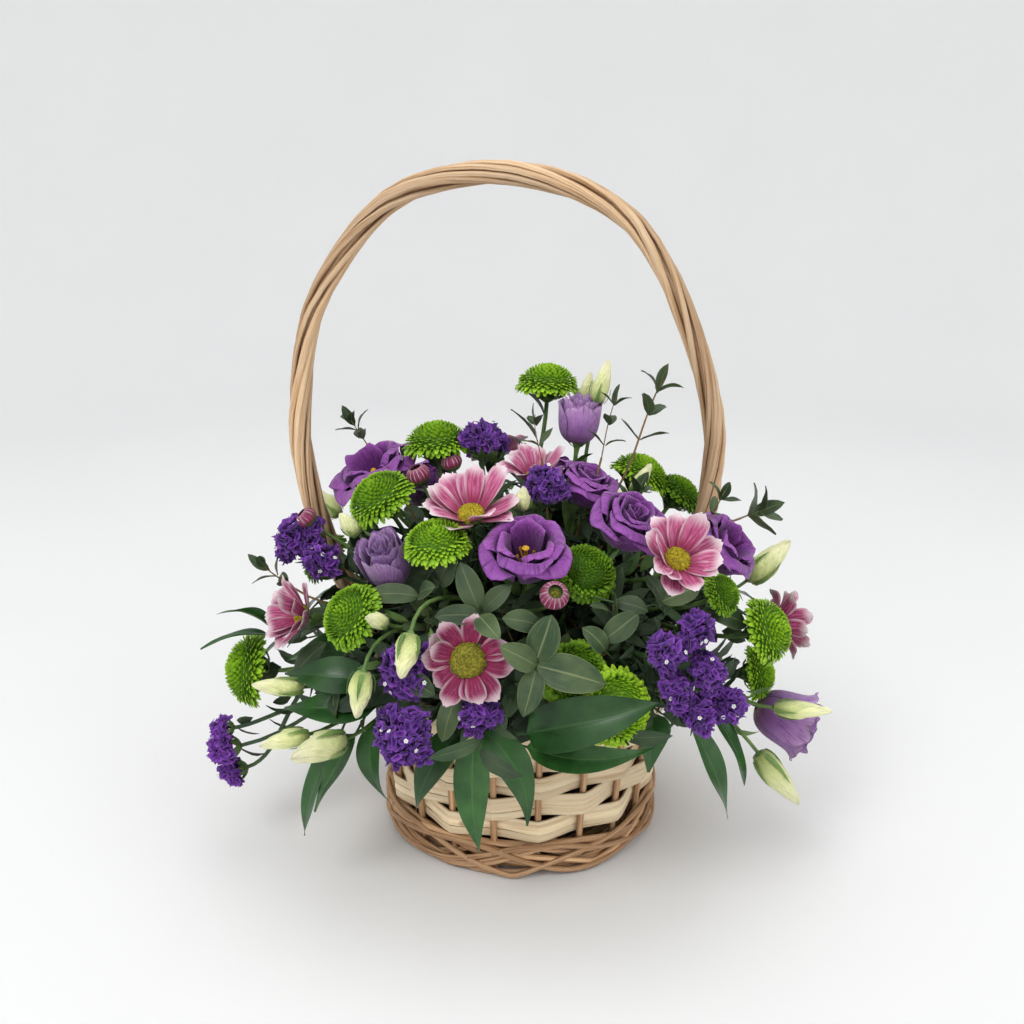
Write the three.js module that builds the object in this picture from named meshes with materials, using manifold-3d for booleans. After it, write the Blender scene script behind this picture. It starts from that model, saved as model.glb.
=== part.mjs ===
// Flower basket arrangement: a round willow basket with an arched handle, a block of floral foam in a
// black film liner, and a mixed dome of lisianthus, daisies, santini pompons, statice and foliage.
// Units are millimetres. +Z is up, the viewer's side is -Y, and the handle's arch stands in the XZ plane.
// The origin is the centre of the basket's flat underside.

import * as THREE from 'three';
import { mergeVertices } from 'three/addons/utils/BufferGeometryUtils.js';
import Module from 'manifold-3d';

const wasm = await Module();
wasm.setup();

// ---------------------------------------------------------------- driving dimensions

const GAP = 0.3;

const STAKE_CIRCLE_LOW = 90.5;
const STAKE_CIRCLE_HIGH = 102;
const BASKET_HEIGHT = 120;
const BASE_THICKNESS = 8;
const BASE_RADIUS = 91;
const FOOT_HEIGHT = 26;
const FOOT_HALF_DEPTH = 3.3;
const RIM_HEIGHT = 25;
const BORDER_HALF_DEPTH = 7;
const ROW_COUNT = 4;
const ROW_HEIGHT = (BASKET_HEIGHT - FOOT_HEIGHT - RIM_HEIGHT) / ROW_COUNT;
const STAKE_COUNT = 20;
const STAKE_RADIUS = 2.2;
const FIRST_STAKE_BEARING = 6.5;
const SPLIT_THICKNESS = 2.2;

const HANDLE_RODS = 5;
const HANDLE_ROD_RADIUS = 2.9;
const HANDLE_ROPE_RADIUS = 7;
const HANDLE_LEG_LOW = 79.4;
const HANDLE_LEG_HIGH = 88.6;
const HANDLE_LEG_BOTTOM = 9.2;
const HANDLE_TURNS = 3.2;

const LINER_RADIUS_LOW = 71.5;
const LINER_RADIUS_HIGH = 80.5;
const LINER_THICKNESS = 0.9;
const LINER_TOP = 124;
const FOAM_TOP = 132;
const STEM_DEPTH = 34;

const STEM_RADIUS = 2.5;
const BRANCH_RADIUS = 1.5;
const TWIG_RADIUS = 1.1;
const BRANCH_STEPS = 2;
const HOLE_RADIUS = (STEM_RADIUS + GAP) * Math.SQRT2;
const BLADE_THICKNESS = 1;

const WILLOW = { color: 0xc9a26d, roughness: 0.62, metalness: 0 };
const FILM = { color: 0x17161a, roughness: 0.4, metalness: 0 };
const FOAM = { color: 0x2f5a34, roughness: 0.95, metalness: 0 };
const VIOLET = { color: 0x6b3a9c, roughness: 0.6, metalness: 0 };
const STATICE_VIOLET = { color: 0x5323a6, roughness: 0.8, metalness: 0 };
const PINK = { color: 0xd071a8, roughness: 0.6, metalness: 0 };
const DISC_YELLOW = { color: 0xc7b51f, roughness: 0.85, metalness: 0 };
const LIME = { color: 0x6aa51c, roughness: 0.8, metalness: 0 };
const STEM_GREEN = { color: 0x7d9c4c, roughness: 0.6, metalness: 0 };
const RUSCUS_GREEN = { color: 0x1f4f2a, roughness: 0.35, metalness: 0 };
const EUCALYPTUS_GREEN = { color: 0x5d7660, roughness: 0.75, metalness: 0 };

// ---------------------------------------------------------------- the arrangement's plan
// A place is [bearing, out, up]: degrees round the basket from the front towards the right, millimetres
// out from the axis, and millimetres above the ground. Heads face away from the dome's middle unless a
// facing of [bearing, rise] in degrees is given.

const DOME_MIDDLE = new THREE.Vector3(0, 0, 90);

const LISIANTHUS_BLOOMS = {
  lisianthus_1: { at: [1, 102, 235], radius: 28 },
  lisianthus_2: { at: [43, 100, 244], radius: 26 },
  lisianthus_3: { at: [50, 56, 258], radius: 22 },
  lisianthus_4: { at: [262, 104, 247], radius: 27 },
  lisianthus_5: { at: [313, 116, 220], radius: 18, furled: true, facing: [320, 62] },
  lisianthus_6: { at: [90, 39, 292], radius: 14, furled: true, facing: [90, 86] },
  lisianthus_7: { at: [74, 142, 214], radius: 21 },
  lisianthus_8: { at: [76, 190, 92], radius: 17, furled: true, facing: [78, -20] },
  lisianthus_9: { at: [165, 122, 220], radius: 26 },
  lisianthus_10: { at: [222, 118, 224], radius: 26 },
};

const LISIANTHUS_STEMS = {
  lisianthus_stems_front: {
    foot: [352, 30],
    blooms: ['lisianthus_1', 'lisianthus_5'],
    buds: [[0, 74, 258, 5, 18], [325, 150, 198, 5, 18], [293, 122, 232, 6, 18], [335, 158, 184, 7, 26]],
  },
  lisianthus_stems_top: {
    foot: [75, 34],
    blooms: ['lisianthus_2', 'lisianthus_3', 'lisianthus_6'],
    buds: [[92, 54, 316, 6, 30], [112, 48, 308, 5, 24], [73, 83, 256, 5, 24]],
  },
  lisianthus_stems_left: {
    foot: [310, 48],
    blooms: [],
    buds: [[326, 170, 158, 7, 28], [307, 188, 149, 6, 34], [318, 184, 121, 9, 40], [311, 192, 120, 6, 32]],
  },
  lisianthus_stems_right: {
    foot: [70, 62],
    blooms: ['lisianthus_7', 'lisianthus_8'],
    buds: [[91, 176, 188, 9, 40], [66, 200, 116, 6, 36], [60, 192, 74, 8, 42]],
  },
  lisianthus_stems_back: {
    foot: [200, 40],
    blooms: ['lisianthus_4', 'lisianthus_9', 'lisianthus_10'],
    buds: [[245, 165, 212, 7, 32], [150, 170, 190, 7, 32]],
  },
};

const DAISIES = {
  daisy_1: { at: [335, 66, 261], radius: 29, facing: [345, 62] },
  daisy_2: { at: [47, 138, 225], radius: 28, facing: [28, 28] },
  daisy_3: { at: [347, 142, 180], radius: 26, facing: [352, 20] },
  daisy_4: { at: [20, 20, 264], radius: 22, facing: [10, 80] },
  daisy_5: { at: [296, 168, 183], radius: 25 },
  daisy_6: { at: [85, 188, 152], radius: 24 },
  daisy_7: { at: [190, 102, 246], radius: 27 },
};

const DAISY_STEMS = {
  daisy_stems_front: {
    foot: [335, 46],
    blooms: ['daisy_1', 'daisy_3', 'daisy_5'],
    buds: [[10, 125, 208, 10, 13], [292, 70, 252, 8, 15], [283, 140, 226, 7, 15]],
  },
  daisy_stems_back: {
    foot: [120, 28],
    blooms: ['daisy_2', 'daisy_4', 'daisy_6', 'daisy_7'],
    buds: [[287, 47, 258, 7, 13]],
  },
};

const SANTINI_SPRAYS = {
  santini_top: { foot: [250, 16], heads: [[148, 35, 309, 20], [270, 57, 276, 21]] },
  santini_left: { foot: [318, 62], heads: [[291, 99, 246, 21], [331, 108, 232, 20], [315, 146, 192, 20]] },
  santini_far_left: { foot: [270, 62], heads: [[284, 192, 128, 20], [248, 162, 170, 19]] },
  santini_front: { foot: [18, 62], heads: [[24, 96, 214, 18], [12, 114, 166, 18], [22, 152, 158, 20]] },
  santini_right: { foot: [95, 46], heads: [[108, 90, 244, 20], [106, 118, 228, 18]] },
  santini_far_right: { foot: [78, 62], heads: [[67, 172, 166, 20], [76, 166, 122, 17], [58, 152, 196, 16]] },
  santini_back: { foot: [185, 62], heads: [[202, 140, 190, 20], [180, 150, 165, 20]] },
};

const STATICE_SPRAYS = {
  statice_top: { foot: [240, 30], clusters: [[214, 42, 266, 16], [282, 26, 274, 11], [14, 58, 261, 13]] },
  statice_left: {
    foot: [290, 46],
    clusters: [[279, 160, 216, 16], [290, 140, 209, 12], [286, 206, 76, 15]],
  },
  statice_front: {
    foot: [342, 64],
    clusters: [[332, 146, 170, 17], [335, 164, 132, 19], [350, 146, 148, 12]],
  },
  statice_right: {
    foot: [38, 64],
    clusters: [[31, 159, 184, 12], [40, 160, 196, 13], [41, 176, 160, 20]],
  },
  statice_back: { foot: [150, 62], clusters: [[160, 150, 190, 18], [150, 172, 150, 16]] },
};

// Each ruscus leaf: root place, tip place, width.
const RUSCUS_SPRAYS = {
  ruscus_front: {
    foot: [2, 64],
    leaves: [
      [[1, 134, 126], [24, 173, 172], 29],
      [[5, 134, 122], [23, 166, 122], 17],
      [[344, 133, 128], [337, 153, 84], 20],
      [[348, 134, 127], [350, 142, 58], 19],
      [[353, 130, 130], [1, 139, 74], 20],
    ],
  },
  ruscus_left: {
    foot: [303, 66],
    leaves: [
      [[319, 138, 122], [324, 142, 69], 17],
      [[310, 152, 106], [308, 178, 41], 21],
      [[315, 148, 112], [312, 176, 64], 18],
      [[290, 172, 154], [286, 218, 150], 15],
      [[283, 168, 162], [282, 212, 172], 13],
    ],
  },
  ruscus_right: {
    foot: [56, 64],
    leaves: [
      [[34, 142, 134], [29, 156, 104], 22],
      [[47, 146, 116], [50, 172, 54], 20],
      [[57, 150, 112], [58, 172, 66], 17],
      [[95, 168, 140], [97, 205, 110], 19],
      [[112, 150, 140], [112, 200, 128], 22],
    ],
  },
  ruscus_back: {
    foot: [170, 64],
    leaves: [
      [[140, 140, 130], [138, 180, 86], 22],
      [[165, 136, 128], [162, 160, 72], 24],
      [[190, 134, 128], [192, 166, 74], 24],
      [[215, 140, 132], [215, 186, 96], 22],
      [[240, 146, 136], [242, 196, 112], 22],
      [[262, 150, 132], [262, 200, 96], 20],
    ],
  },
};

// Each eucalyptus sprig: where its leafy part starts, its tip, the number of leaf pairs, the leaf's length.
const EUCALYPTUS_SPRAYS = {
  eucalyptus_front: {
    foot: [352, 66],
    sprigs: [
      [[352, 124, 160], [348, 138, 214], 3, 28],
      [[358, 130, 150], [6, 156, 186], 2, 30],
    ],
  },
  eucalyptus_right: {
    foot: [40, 34],
    sprigs: [
      [[26, 118, 172], [24, 132, 214], 2, 20],
      [[80, 76, 270], [92, 98, 326], 3, 16],
      [[84, 148, 226], [88, 182, 242], 2, 15],
    ],
  },
  eucalyptus_left: {
    foot: [280, 34],
    sprigs: [
      [[328, 112, 174], [332, 124, 206], 2, 18],
      [[272, 104, 270], [270, 130, 294], 2, 15],
      [[283, 156, 182], [280, 186, 206], 2, 18],
    ],
  },
};

// The handle's centre line above the rim, [x, z] in the XZ plane, from the left leg over to the right.
const HANDLE_ARCH = [
  [-127, 180],
  [-148, 258],
  [-146, 321],
  [-129, 378],
  [-82, 433],
  [-14, 449],
  [51, 432],
  [89, 395],
  [122, 321],
  [131, 258],
  [118, 180],
];

// ---------------------------------------------------------------- places and directions

function place(bearing, out, up) {
  const angle = THREE.MathUtils.degToRad(bearing);
  return new THREE.Vector3(Math.sin(angle) * out, -Math.cos(angle) * out, up);
}

function heading(bearing, rise) {
  const angle = THREE.MathUtils.degToRad(rise);
  return place(bearing, Math.cos(angle), Math.sin(angle));
}

function facingOf(point, facing) {
  return facing ? heading(...facing) : point.clone().sub(DOME_MIDDLE).normalize();
}

// Two directions square to an axis and to each other.
function crossAxes(axis) {
  const reference = Math.abs(axis.z) > 0.95 ? new THREE.Vector3(0, -1, 0) : new THREE.Vector3(0, 0, 1);
  const first = new THREE.Vector3().crossVectors(reference, axis).normalize();
  const second = new THREE.Vector3().crossVectors(axis, first).normalize();
  return [first, second];
}

function around(axes, angle) {
  return axes[0].clone().multiplyScalar(Math.cos(angle)).addScaledVector(axes[1], Math.sin(angle));
}

// A point from an origin and [direction, distance] pairs.
function offset(origin, ...moves) {
  const point = origin.clone();
  moves.forEach(([direction, distance]) => point.addScaledVector(direction, distance));
  return point;
}

// A repeatable stream of numbers between 0 and 1.
function seededRandom(seed) {
  let state = seed;
  return () => {
    state = (state * 16807) % 2147483647;
    return state / 2147483647;
  };
}

// ---------------------------------------------------------------- solids

function solidOf(geometry) {
  geometry.deleteAttribute('normal');
  geometry.deleteAttribute('uv');
  const merged = mergeVertices(geometry);
  return new wasm.Manifold(new wasm.Mesh({
    numProp: 3,
    vertProperties: new Float32Array(merged.attributes.position.array),
    triVerts: new Uint32Array(merged.index.array),
  }));
}

function geometryOf(solid) {
  const mesh = solid.getMesh();
  const geometry = new THREE.BufferGeometry();
  geometry.setAttribute('position', new THREE.BufferAttribute(mesh.vertProperties, 3));
  geometry.setIndex(new THREE.BufferAttribute(mesh.triVerts, 1));
  geometry.computeVertexNormals();
  return geometry;
}

function fuse(solids) {
  return solids.reduce((whole, solid) => whole.add(solid));
}

// Six times the volume inside a skin, negative where its faces point inwards.
function signedVolume(points, faces) {
  let volume = 0;
  for (const [a, b, c] of faces) {
    volume += points[a].dot(new THREE.Vector3().crossVectors(points[b], points[c]));
  }
  return volume;
}

function skin(points, faces) {
  const inwards = signedVolume(points, faces) < 0;
  const turned = inwards ? faces.map(([a, b, c]) => [a, c, b]) : faces;
  const geometry = new THREE.BufferGeometry().setFromPoints(points);
  geometry.setIndex(turned.flat());
  return solidOf(geometry);
}

// The faces between two neighbouring rings that start at two places in the list of points. A ring of one
// point is a pole, and a ring may meet one of half its count.
function bandFaces(a, countA, b, countB) {
  const faces = [];
  const large = Math.max(countA, countB);
  for (let k = 0; k < large; k += 1) {
    const l = (k + 1) % large;
    if (countA === 1) {
      faces.push([a, b + k, b + l]);
    } else if (countB === 1) {
      faces.push([a + l, a + k, b]);
    } else if (countA === countB) {
      faces.push([a + l, a + k, b + l], [a + k, b + k, b + l]);
    } else if (k % 2 === 0) {
      const [near, next] = [a + k / 2, a + ((k / 2 + 1) % countA)];
      faces.push([near, b + k, b + k + 1], [near, b + k + 1, next], [next, b + k + 1, b + ((k + 2) % large)]);
    }
  }
  return faces;
}

// A skin over rings of points. A closed loft joins its last ring to its first.
function loft(rings, closed = false) {
  let start = 0;
  const starts = rings.map((points) => {
    start += points.length;
    return start - points.length;
  });
  const spans = closed ? rings.length : rings.length - 1;
  const faces = [];
  for (let i = 0; i < spans; i += 1) {
    const next = (i + 1) % rings.length;
    faces.push(...bandFaces(starts[i], rings[i].length, starts[next], rings[next].length));
  }
  return skin(rings.flat(), faces);
}

// A round ring of points. The radius may be a function of the point's number.
function ring(centre, axes, radius, sides, turn = 0) {
  return Array.from({ length: sides }, (_, k) => {
    const reach = typeof radius === 'function' ? radius(k) : radius;
    return offset(centre, [around(axes, turn + (k / sides) * Math.PI * 2), reach]);
  });
}

// A tapering round stem along a curve, carried on along its arrival axis into what it bears: headRings
// turns the end point, its axis and its cross axes into rings that end in a point.
function stem(curve, startRadius, endRadius, steps, sides, arrival, headRings) {
  const frames = curve.computeFrenetFrames(steps, false);
  const rings = [[curve.getPointAt(0)]];
  for (let i = 0; i <= steps; i += 1) {
    const radius = startRadius + (endRadius - startRadius) * (i / steps);
    rings.push(ring(curve.getPointAt(i / steps), [frames.normals[i], frames.binormals[i]], radius, sides));
  }
  const end = curve.getPointAt(1);
  if (headRings) {
    const first = frames.normals[steps].clone().projectOnPlane(arrival).normalize();
    rings.push(...headRings(end, arrival, [first, new THREE.Vector3().crossVectors(arrival, first)]));
  } else {
    rings.push([end]);
  }
  return loft(rings);
}

// Four points round a blade or its stalk: one edge, the upper keel, the other edge, the lower keel.
function bladeRing(middle, side, face, halfWidth, lift, halfThickness) {
  return [
    offset(middle, [side, -halfWidth], [face, lift]),
    offset(middle, [face, halfThickness]),
    offset(middle, [side, halfWidth], [face, lift]),
    offset(middle, [face, -halfThickness]),
  ];
}

// A thin keeled blade from root to tip whose upper face looks along up. halfWidths are spaced evenly
// between the two, arch bends its middle towards up and cup lifts its edges. A stalk is the path by which
// it hangs on its stem.
function blade({ root, tip, up, halfWidths, arch = 0, cup = 0.25, stalk }) {
  const along = tip.clone().sub(root);
  const side = new THREE.Vector3().crossVectors(along, up).normalize();
  const face = new THREE.Vector3().crossVectors(side, along).normalize();
  const rings = [];
  [0, 0.5, 1].filter(() => stalk).forEach((share) => {
    const tangent = stalk.getTangentAt(share);
    const across = new THREE.Vector3().crossVectors(tangent, face).normalize();
    const over = new THREE.Vector3().crossVectors(across, tangent);
    rings.push(bladeRing(stalk.getPointAt(share), across, over, TWIG_RADIUS, 0, TWIG_RADIUS));
  });
  halfWidths.forEach((halfWidth, i) => {
    const share = (i + 1) / (halfWidths.length + 1);
    const middle = offset(root, [along, share], [face, arch * 4 * share * (1 - share)]);
    rings.push(bladeRing(middle, side, face, halfWidth, cup * halfWidth, BLADE_THICKNESS / 2));
  });
  const points = [stalk ? stalk.getPointAt(0) : root, ...rings.flat(), tip];
  const last = points.length - 1;
  const faces = [];
  for (let k = 0; k < 4; k += 1) {
    const l = (k + 1) % 4;
    faces.push([0, 1 + k, 1 + l], [last - 4 + l, last - 4 + k, last]);
  }
  for (let near = 1; near + 4 < last; near += 4) {
    const far = near + 4;
    for (const [edge, keel, turned] of [[0, 1, false], [2, 1, true], [0, 3, true], [2, 3, false]]) {
      const halves = [[near + edge, far + keel, near + keel], [near + edge, far + edge, far + keel]];
      halves.forEach(([first, second, third]) => {
        faces.push(turned ? [first, third, second] : [first, second, third]);
      });
    }
  }
  return skin(points, faces);
}

// ---------------------------------------------------------------- what has grown so far

const grown = new Map();

function remember(name, solid) {
  const box = solid.boundingBox();
  grown.set(name, { solid, box });
  return solid;
}

function boxesMeet(a, b) {
  return [0, 1, 2].every((k) => a.min[k] < b.max[k] && b.min[k] < a.max[k]);
}

function standsClear(solid, except = []) {
  const box = solid.boundingBox();
  for (const [name, other] of grown) {
    const ignored = except.includes(name);
    if (!ignored && boxesMeet(box, other.box) && other.solid.intersect(solid).volume() > 0) {
      return false;
    }
  }
  return true;
}

// ---------------------------------------------------------------- basket

function wallRadius(up) {
  return STAKE_CIRCLE_LOW + ((STAKE_CIRCLE_HIGH - STAKE_CIRCLE_LOW) * up) / BASKET_HEIGHT;
}

// Willow rods laid up round each other into a rope that follows a ring round the basket.
function ropeRing(radius, up, halfDepth, halfHeight, lobes, turns, stations) {
  const rings = Array.from({ length: stations }, (_, i) => {
    const bearing = (i / stations) * 360;
    const outward = heading(bearing, 0);
    const centre = place(bearing, radius, up);
    return Array.from({ length: lobes * 2 }, (__, k) => {
      const angle = (k / (lobes * 2)) * Math.PI * 2 + (bearing / 180) * Math.PI * turns;
      const reach = k % 2 === 0 ? 1 : 0.74;
      return offset(
        centre,
        [outward, halfDepth * reach * Math.cos(angle)],
        [new THREE.Vector3(0, 0, 1), halfHeight * reach * Math.sin(angle)],
      );
    });
  });
  return loft(rings, true);
}

function stakeBearing(index) {
  return FIRST_STAKE_BEARING + (index * 360) / STAKE_COUNT;
}

// The stakes stand on the base and turn down at the top into the rolled border, so base, stakes and
// border are one body.
function basketFrame() {
  const profile = [
    [0, 0],
    [BASE_RADIUS - 6, 0],
    [BASE_RADIUS, 2.5],
    [BASE_RADIUS, BASE_THICKNESS - 1.5],
    [BASE_RADIUS - 5, BASE_THICKNESS],
    [0, BASE_THICKNESS],
  ].map(([x, y]) => new THREE.Vector2(x, y));
  const disc = new THREE.LatheGeometry(profile, STAKE_COUNT);
  disc.rotateX(Math.PI / 2);
  const pieces = [solidOf(disc)];
  const top = BASKET_HEIGHT - RIM_HEIGHT / 2;
  pieces.push(ropeRing(wallRadius(top) + 2, top, BORDER_HALF_DEPTH, RIM_HEIGHT / 2, 3, 8, 36));
  for (let i = 0; i < STAKE_COUNT; i += 1) {
    const bearing = stakeBearing(i);
    const path = new THREE.LineCurve3(place(bearing, wallRadius(3), 3), place(bearing, wallRadius(top), top));
    pieces.push(stem(path, STAKE_RADIUS, STAKE_RADIUS, 1, 4));
  }
  return fuse(pieces);
}

// The upsett: rods twisted round the foot, outside the stakes.
function basketFoot() {
  const middle = FOOT_HEIGHT / 2;
  const radius = wallRadius(middle) + STAKE_RADIUS + 2 * GAP + FOOT_HALF_DEPTH;
  return ropeRing(radius, middle, FOOT_HALF_DEPTH, middle, 4, 6, 30);
}

// One row of weaving: three flat splits lying one over another, passing outside and inside the stakes
// in turn.
function wallRow(index) {
  const bottom = FOOT_HEIGHT + index * ROW_HEIGHT + 0.4;
  const height = ROW_HEIGHT - 0.8;
  const half = SPLIT_THICKNESS / 2;
  const groove = 0.9;
  const rings = Array.from({ length: STAKE_COUNT }, (_, i) => {
    const side = (i + index) % 2 === 0 ? 1 : -1;
    const swing = side * (STAKE_RADIUS + 2 * GAP + half);
    const bearing = stakeBearing(i);
    const face = (up, depth) => place(bearing, wallRadius(up) + swing + depth, up);
    return [
      face(bottom + height, -half),
      face(bottom, -half),
      face(bottom, half),
      face(bottom + height / 3, half - groove),
      face(bottom + height / 2, half),
      face(bottom + (height * 2) / 3, half - groove),
      face(bottom + height, half),
    ];
  });
  return loft(rings, true);
}

// The handle: rods laid up as one rope, its legs pushed down inside the wall.
function handleRope() {
  const points = [
    [-HANDLE_LEG_LOW, HANDLE_LEG_BOTTOM],
    [-(HANDLE_LEG_LOW + HANDLE_LEG_HIGH) / 2, 62],
    [-HANDLE_LEG_HIGH, BASKET_HEIGHT - 3],
    ...HANDLE_ARCH,
    [HANDLE_LEG_HIGH, BASKET_HEIGHT - 3],
    [(HANDLE_LEG_LOW + HANDLE_LEG_HIGH) / 2, 62],
    [HANDLE_LEG_LOW, HANDLE_LEG_BOTTOM],
  ].map(([x, z]) => new THREE.Vector3(x, 0, z));
  const curve = new THREE.CatmullRomCurve3(points, false, 'centripetal');
  const steps = 32;
  const valley = HANDLE_ROPE_RADIUS - HANDLE_ROD_RADIUS * 0.5;
  const sideways = new THREE.Vector3(0, 1, 0);
  const rings = [[curve.getPointAt(0)]];
  for (let i = 0; i <= steps; i += 1) {
    const along = curve.getTangentAt(i / steps);
    const outward = new THREE.Vector3().crossVectors(sideways, along);
    const twist = (i / steps) * HANDLE_TURNS * Math.PI * 2;
    rings.push(ring(
      curve.getPointAt(i / steps),
      [outward, sideways],
      (k) => (k % 2 === 0 ? HANDLE_ROPE_RADIUS : valley),
      HANDLE_RODS * 2,
      twist,
    ));
  }
  rings.push([curve.getPointAt(1)]);
  return loft(rings);
}

function linerCup() {
  const floor = BASE_THICKNESS + GAP;
  const profile = [
    [0, floor],
    [LINER_RADIUS_LOW, floor],
    [LINER_RADIUS_HIGH, LINER_TOP],
    [LINER_RADIUS_HIGH - LINER_THICKNESS, LINER_TOP],
    [LINER_RADIUS_LOW - LINER_THICKNESS, floor + LINER_THICKNESS],
    [0, floor + LINER_THICKNESS],
  ].map(([x, y]) => new THREE.Vector2(x, y));
  const cup = new THREE.LatheGeometry(profile, STAKE_COUNT);
  cup.rotateX(Math.PI / 2);
  return solidOf(cup);
}

function foamBlock() {
  const floor = BASE_THICKNESS + LINER_THICKNESS + 2 * GAP;
  const slack = LINER_THICKNESS + 2 * GAP;
  const profile = [
    [0, floor],
    [LINER_RADIUS_LOW - slack, floor],
    [LINER_RADIUS_HIGH - slack, FOAM_TOP],
    [0, FOAM_TOP],
  ].map(([x, y]) => new THREE.Vector2(x, y));
  const block = new THREE.LatheGeometry(profile, STAKE_COUNT);
  block.rotateX(Math.PI / 2);
  return solidOf(block);
}

// ---------------------------------------------------------------- blooms

// Rings of a lisianthus from the stem end to the heart: [radius, height, petal edge], shares of the
// bloom's radius and height. The petals stand as two whorls of five round the heart.
const OPEN_WHORLS = [
  [0.22, 0.06, 0],
  [0.66, 0.42, 0.4],
  [1, 0.8, 1],
  [0.6, 0.5, 0.5],
  [0.62, 1, 1],
  [0.3, 0.5, 0.3],
];
const FURLED_WHORLS = [
  [0.34, 0.08, 0],
  [0.92, 0.4, 0.4],
  [0.96, 0.92, 1],
  [0.6, 0.7, 0.5],
  [0.56, 1, 1],
  [0.26, 0.8, 0.3],
];
const LISIANTHUS_PETALS = 5;

// Across each petal: its angle share, how far it stands out and how high, so that one edge lies over
// the next petal.
const PETAL_COLUMNS = [
  [0.06, -0.16, -0.16],
  [0.5, 0, 0.06],
  [0.94, 0.04, -0.1],
];

function lisianthusBloom({ at, radius, furled, facing }) {
  const middle = place(...at);
  const axis = facingOf(middle, facing);
  const axes = crossAxes(axis);
  const depth = radius * (furled ? 1.3 : 0.75);
  const height = radius * (furled ? 2.4 : 1.1);
  const base = offset(middle, [axis, -depth]);
  const rings = (furled ? FURLED_WHORLS : OPEN_WHORLS).map(([reach, level, edge], j) => (
    Array.from({ length: LISIANTHUS_PETALS * PETAL_COLUMNS.length }, (_, k) => {
      const [share, out, up] = PETAL_COLUMNS[k % PETAL_COLUMNS.length];
      const petal = Math.floor(k / PETAL_COLUMNS.length);
      const angle = ((petal + share) / LISIANTHUS_PETALS) * Math.PI * 2 + j * 0.12;
      return offset(
        base,
        [around(axes, angle), radius * reach * (1 + out * edge)],
        [axis, height * (level + up * edge)],
      );
    })
  ));
  return loft([[base], ...rings, [offset(base, [axis, height * (furled ? 0.92 : 0.8)])]]);
}

const DAISY_PETALS = 11;
const DAISY_CORE = 0.3;
const DAISY_DEPTH = 3.4;

// Round one daisy petal's outline: [angle share, reach, lift], from the notch beside it over its tip.
const DAISY_OUTLINE = [
  [0, 0.36, 0],
  [0.17, 0.8, 0.13],
  [0.36, 1, 0.17],
  [0.64, 1, 0.17],
  [0.83, 0.8, 0.13],
];

function daisyBloom({ at, radius, facing }) {
  const middle = place(...at);
  const axis = facingOf(middle, facing);
  const axes = crossAxes(axis);
  const columns = DAISY_PETALS * DAISY_OUTLINE.length;
  const outline = Array.from({ length: columns }, (_, k) => {
    const [share, reach, lift] = DAISY_OUTLINE[k % DAISY_OUTLINE.length];
    const petal = Math.floor(k / DAISY_OUTLINE.length);
    const raised = petal % 2 === 0 ? 1 : 0.35;
    const angle = ((petal + share) / DAISY_PETALS) * Math.PI * 2;
    return offset(middle, [around(axes, angle), radius * reach], [axis, radius * lift * raised]);
  });
  const core = ring(middle, axes, radius * DAISY_CORE, columns);
  return loft([[middle], core, outline, [offset(middle, [axis, -DAISY_DEPTH])]]);
}

// The disc of small yellow florets, standing on the daisy's core.
function daisyEye({ at, radius, facing }) {
  const middle = place(...at);
  const axis = facingOf(middle, facing);
  const axes = crossAxes(axis);
  const size = radius * DAISY_CORE;
  const base = offset(middle, [axis, GAP + 0.1]);
  const bumpy = (reach) => (k) => (k % 2 === 0 ? reach : reach * 0.86);
  return loft([
    [base],
    ring(base, axes, bumpy(size), 10),
    ring(offset(base, [axis, size * 0.42]), axes, bumpy(size * 0.86), 10, 0.3),
    [offset(base, [axis, size * 0.5])],
  ]);
}

// What a stem bears is given as rings from its neck to its tip, round the stem's end.

// A pompon of short florets: points and hollows alternate round and up the ball.
const SANTINI_NECK = 0.3;

function santiniRings(radius) {
  return (neck, axis, axes) => {
    const rings = [1.9, 1.36, 0.88, 0.42].map((polar, j) => {
      const height = Math.cos(polar) * radius * (polar > Math.PI / 2 ? 0.7 : 0.82);
      const pointed = (k) => Math.sin(polar) * radius * ((k + j) % 2 === 0 ? 1.02 : 0.86);
      return ring(offset(neck, [axis, radius * SANTINI_NECK + height]), axes, pointed, 10);
    });
    return [...rings, [offset(neck, [axis, radius * (SANTINI_NECK + 0.84)])]];
  };
}

// A cluster of ruffled papery florets.
const STATICE_NECK = 0.8;

function staticeRings(radius, seed) {
  return (neck, axis, axes) => {
    const random = seededRandom(seed);
    const rings = [2.15, 1.4, 0.65].map((polar, j) => {
      const centre = offset(neck, [axis, radius * (STATICE_NECK + Math.cos(polar) * 0.9)]);
      const reach = Math.sin(polar) * radius;
      const ruffled = (k) => reach * ((k + j) % 2 === 0 ? 1.04 : 0.76) * (0.88 + 0.2 * random());
      return ring(centre, axes, ruffled, 10);
    });
    return [...rings, [offset(neck, [axis, radius * (STATICE_NECK + 0.8)])]];
  };
}

// A pointed bud with its petals furled round each other.
function budRings(radius, length) {
  return (neck, axis, axes) => [
    ring(offset(neck, [axis, length * 0.1]), axes, radius * 0.75, 4, 0.1),
    ring(offset(neck, [axis, length * 0.38]), axes, radius, 4, 0.5),
    ring(offset(neck, [axis, length * 0.72]), axes, radius * 0.62, 4, 0.9),
    [offset(neck, [axis, length])],
  ];
}

// The green cup under a bloom.
function cupRings(radius, length) {
  return (neck, axis, axes) => [
    ring(offset(neck, [axis, length * 0.3]), axes, radius * 0.6, 4),
    ring(offset(neck, [axis, length]), axes, radius, 4),
    [offset(neck, [axis, length])],
  ];
}

// ---------------------------------------------------------------- stems and foliage

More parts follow.
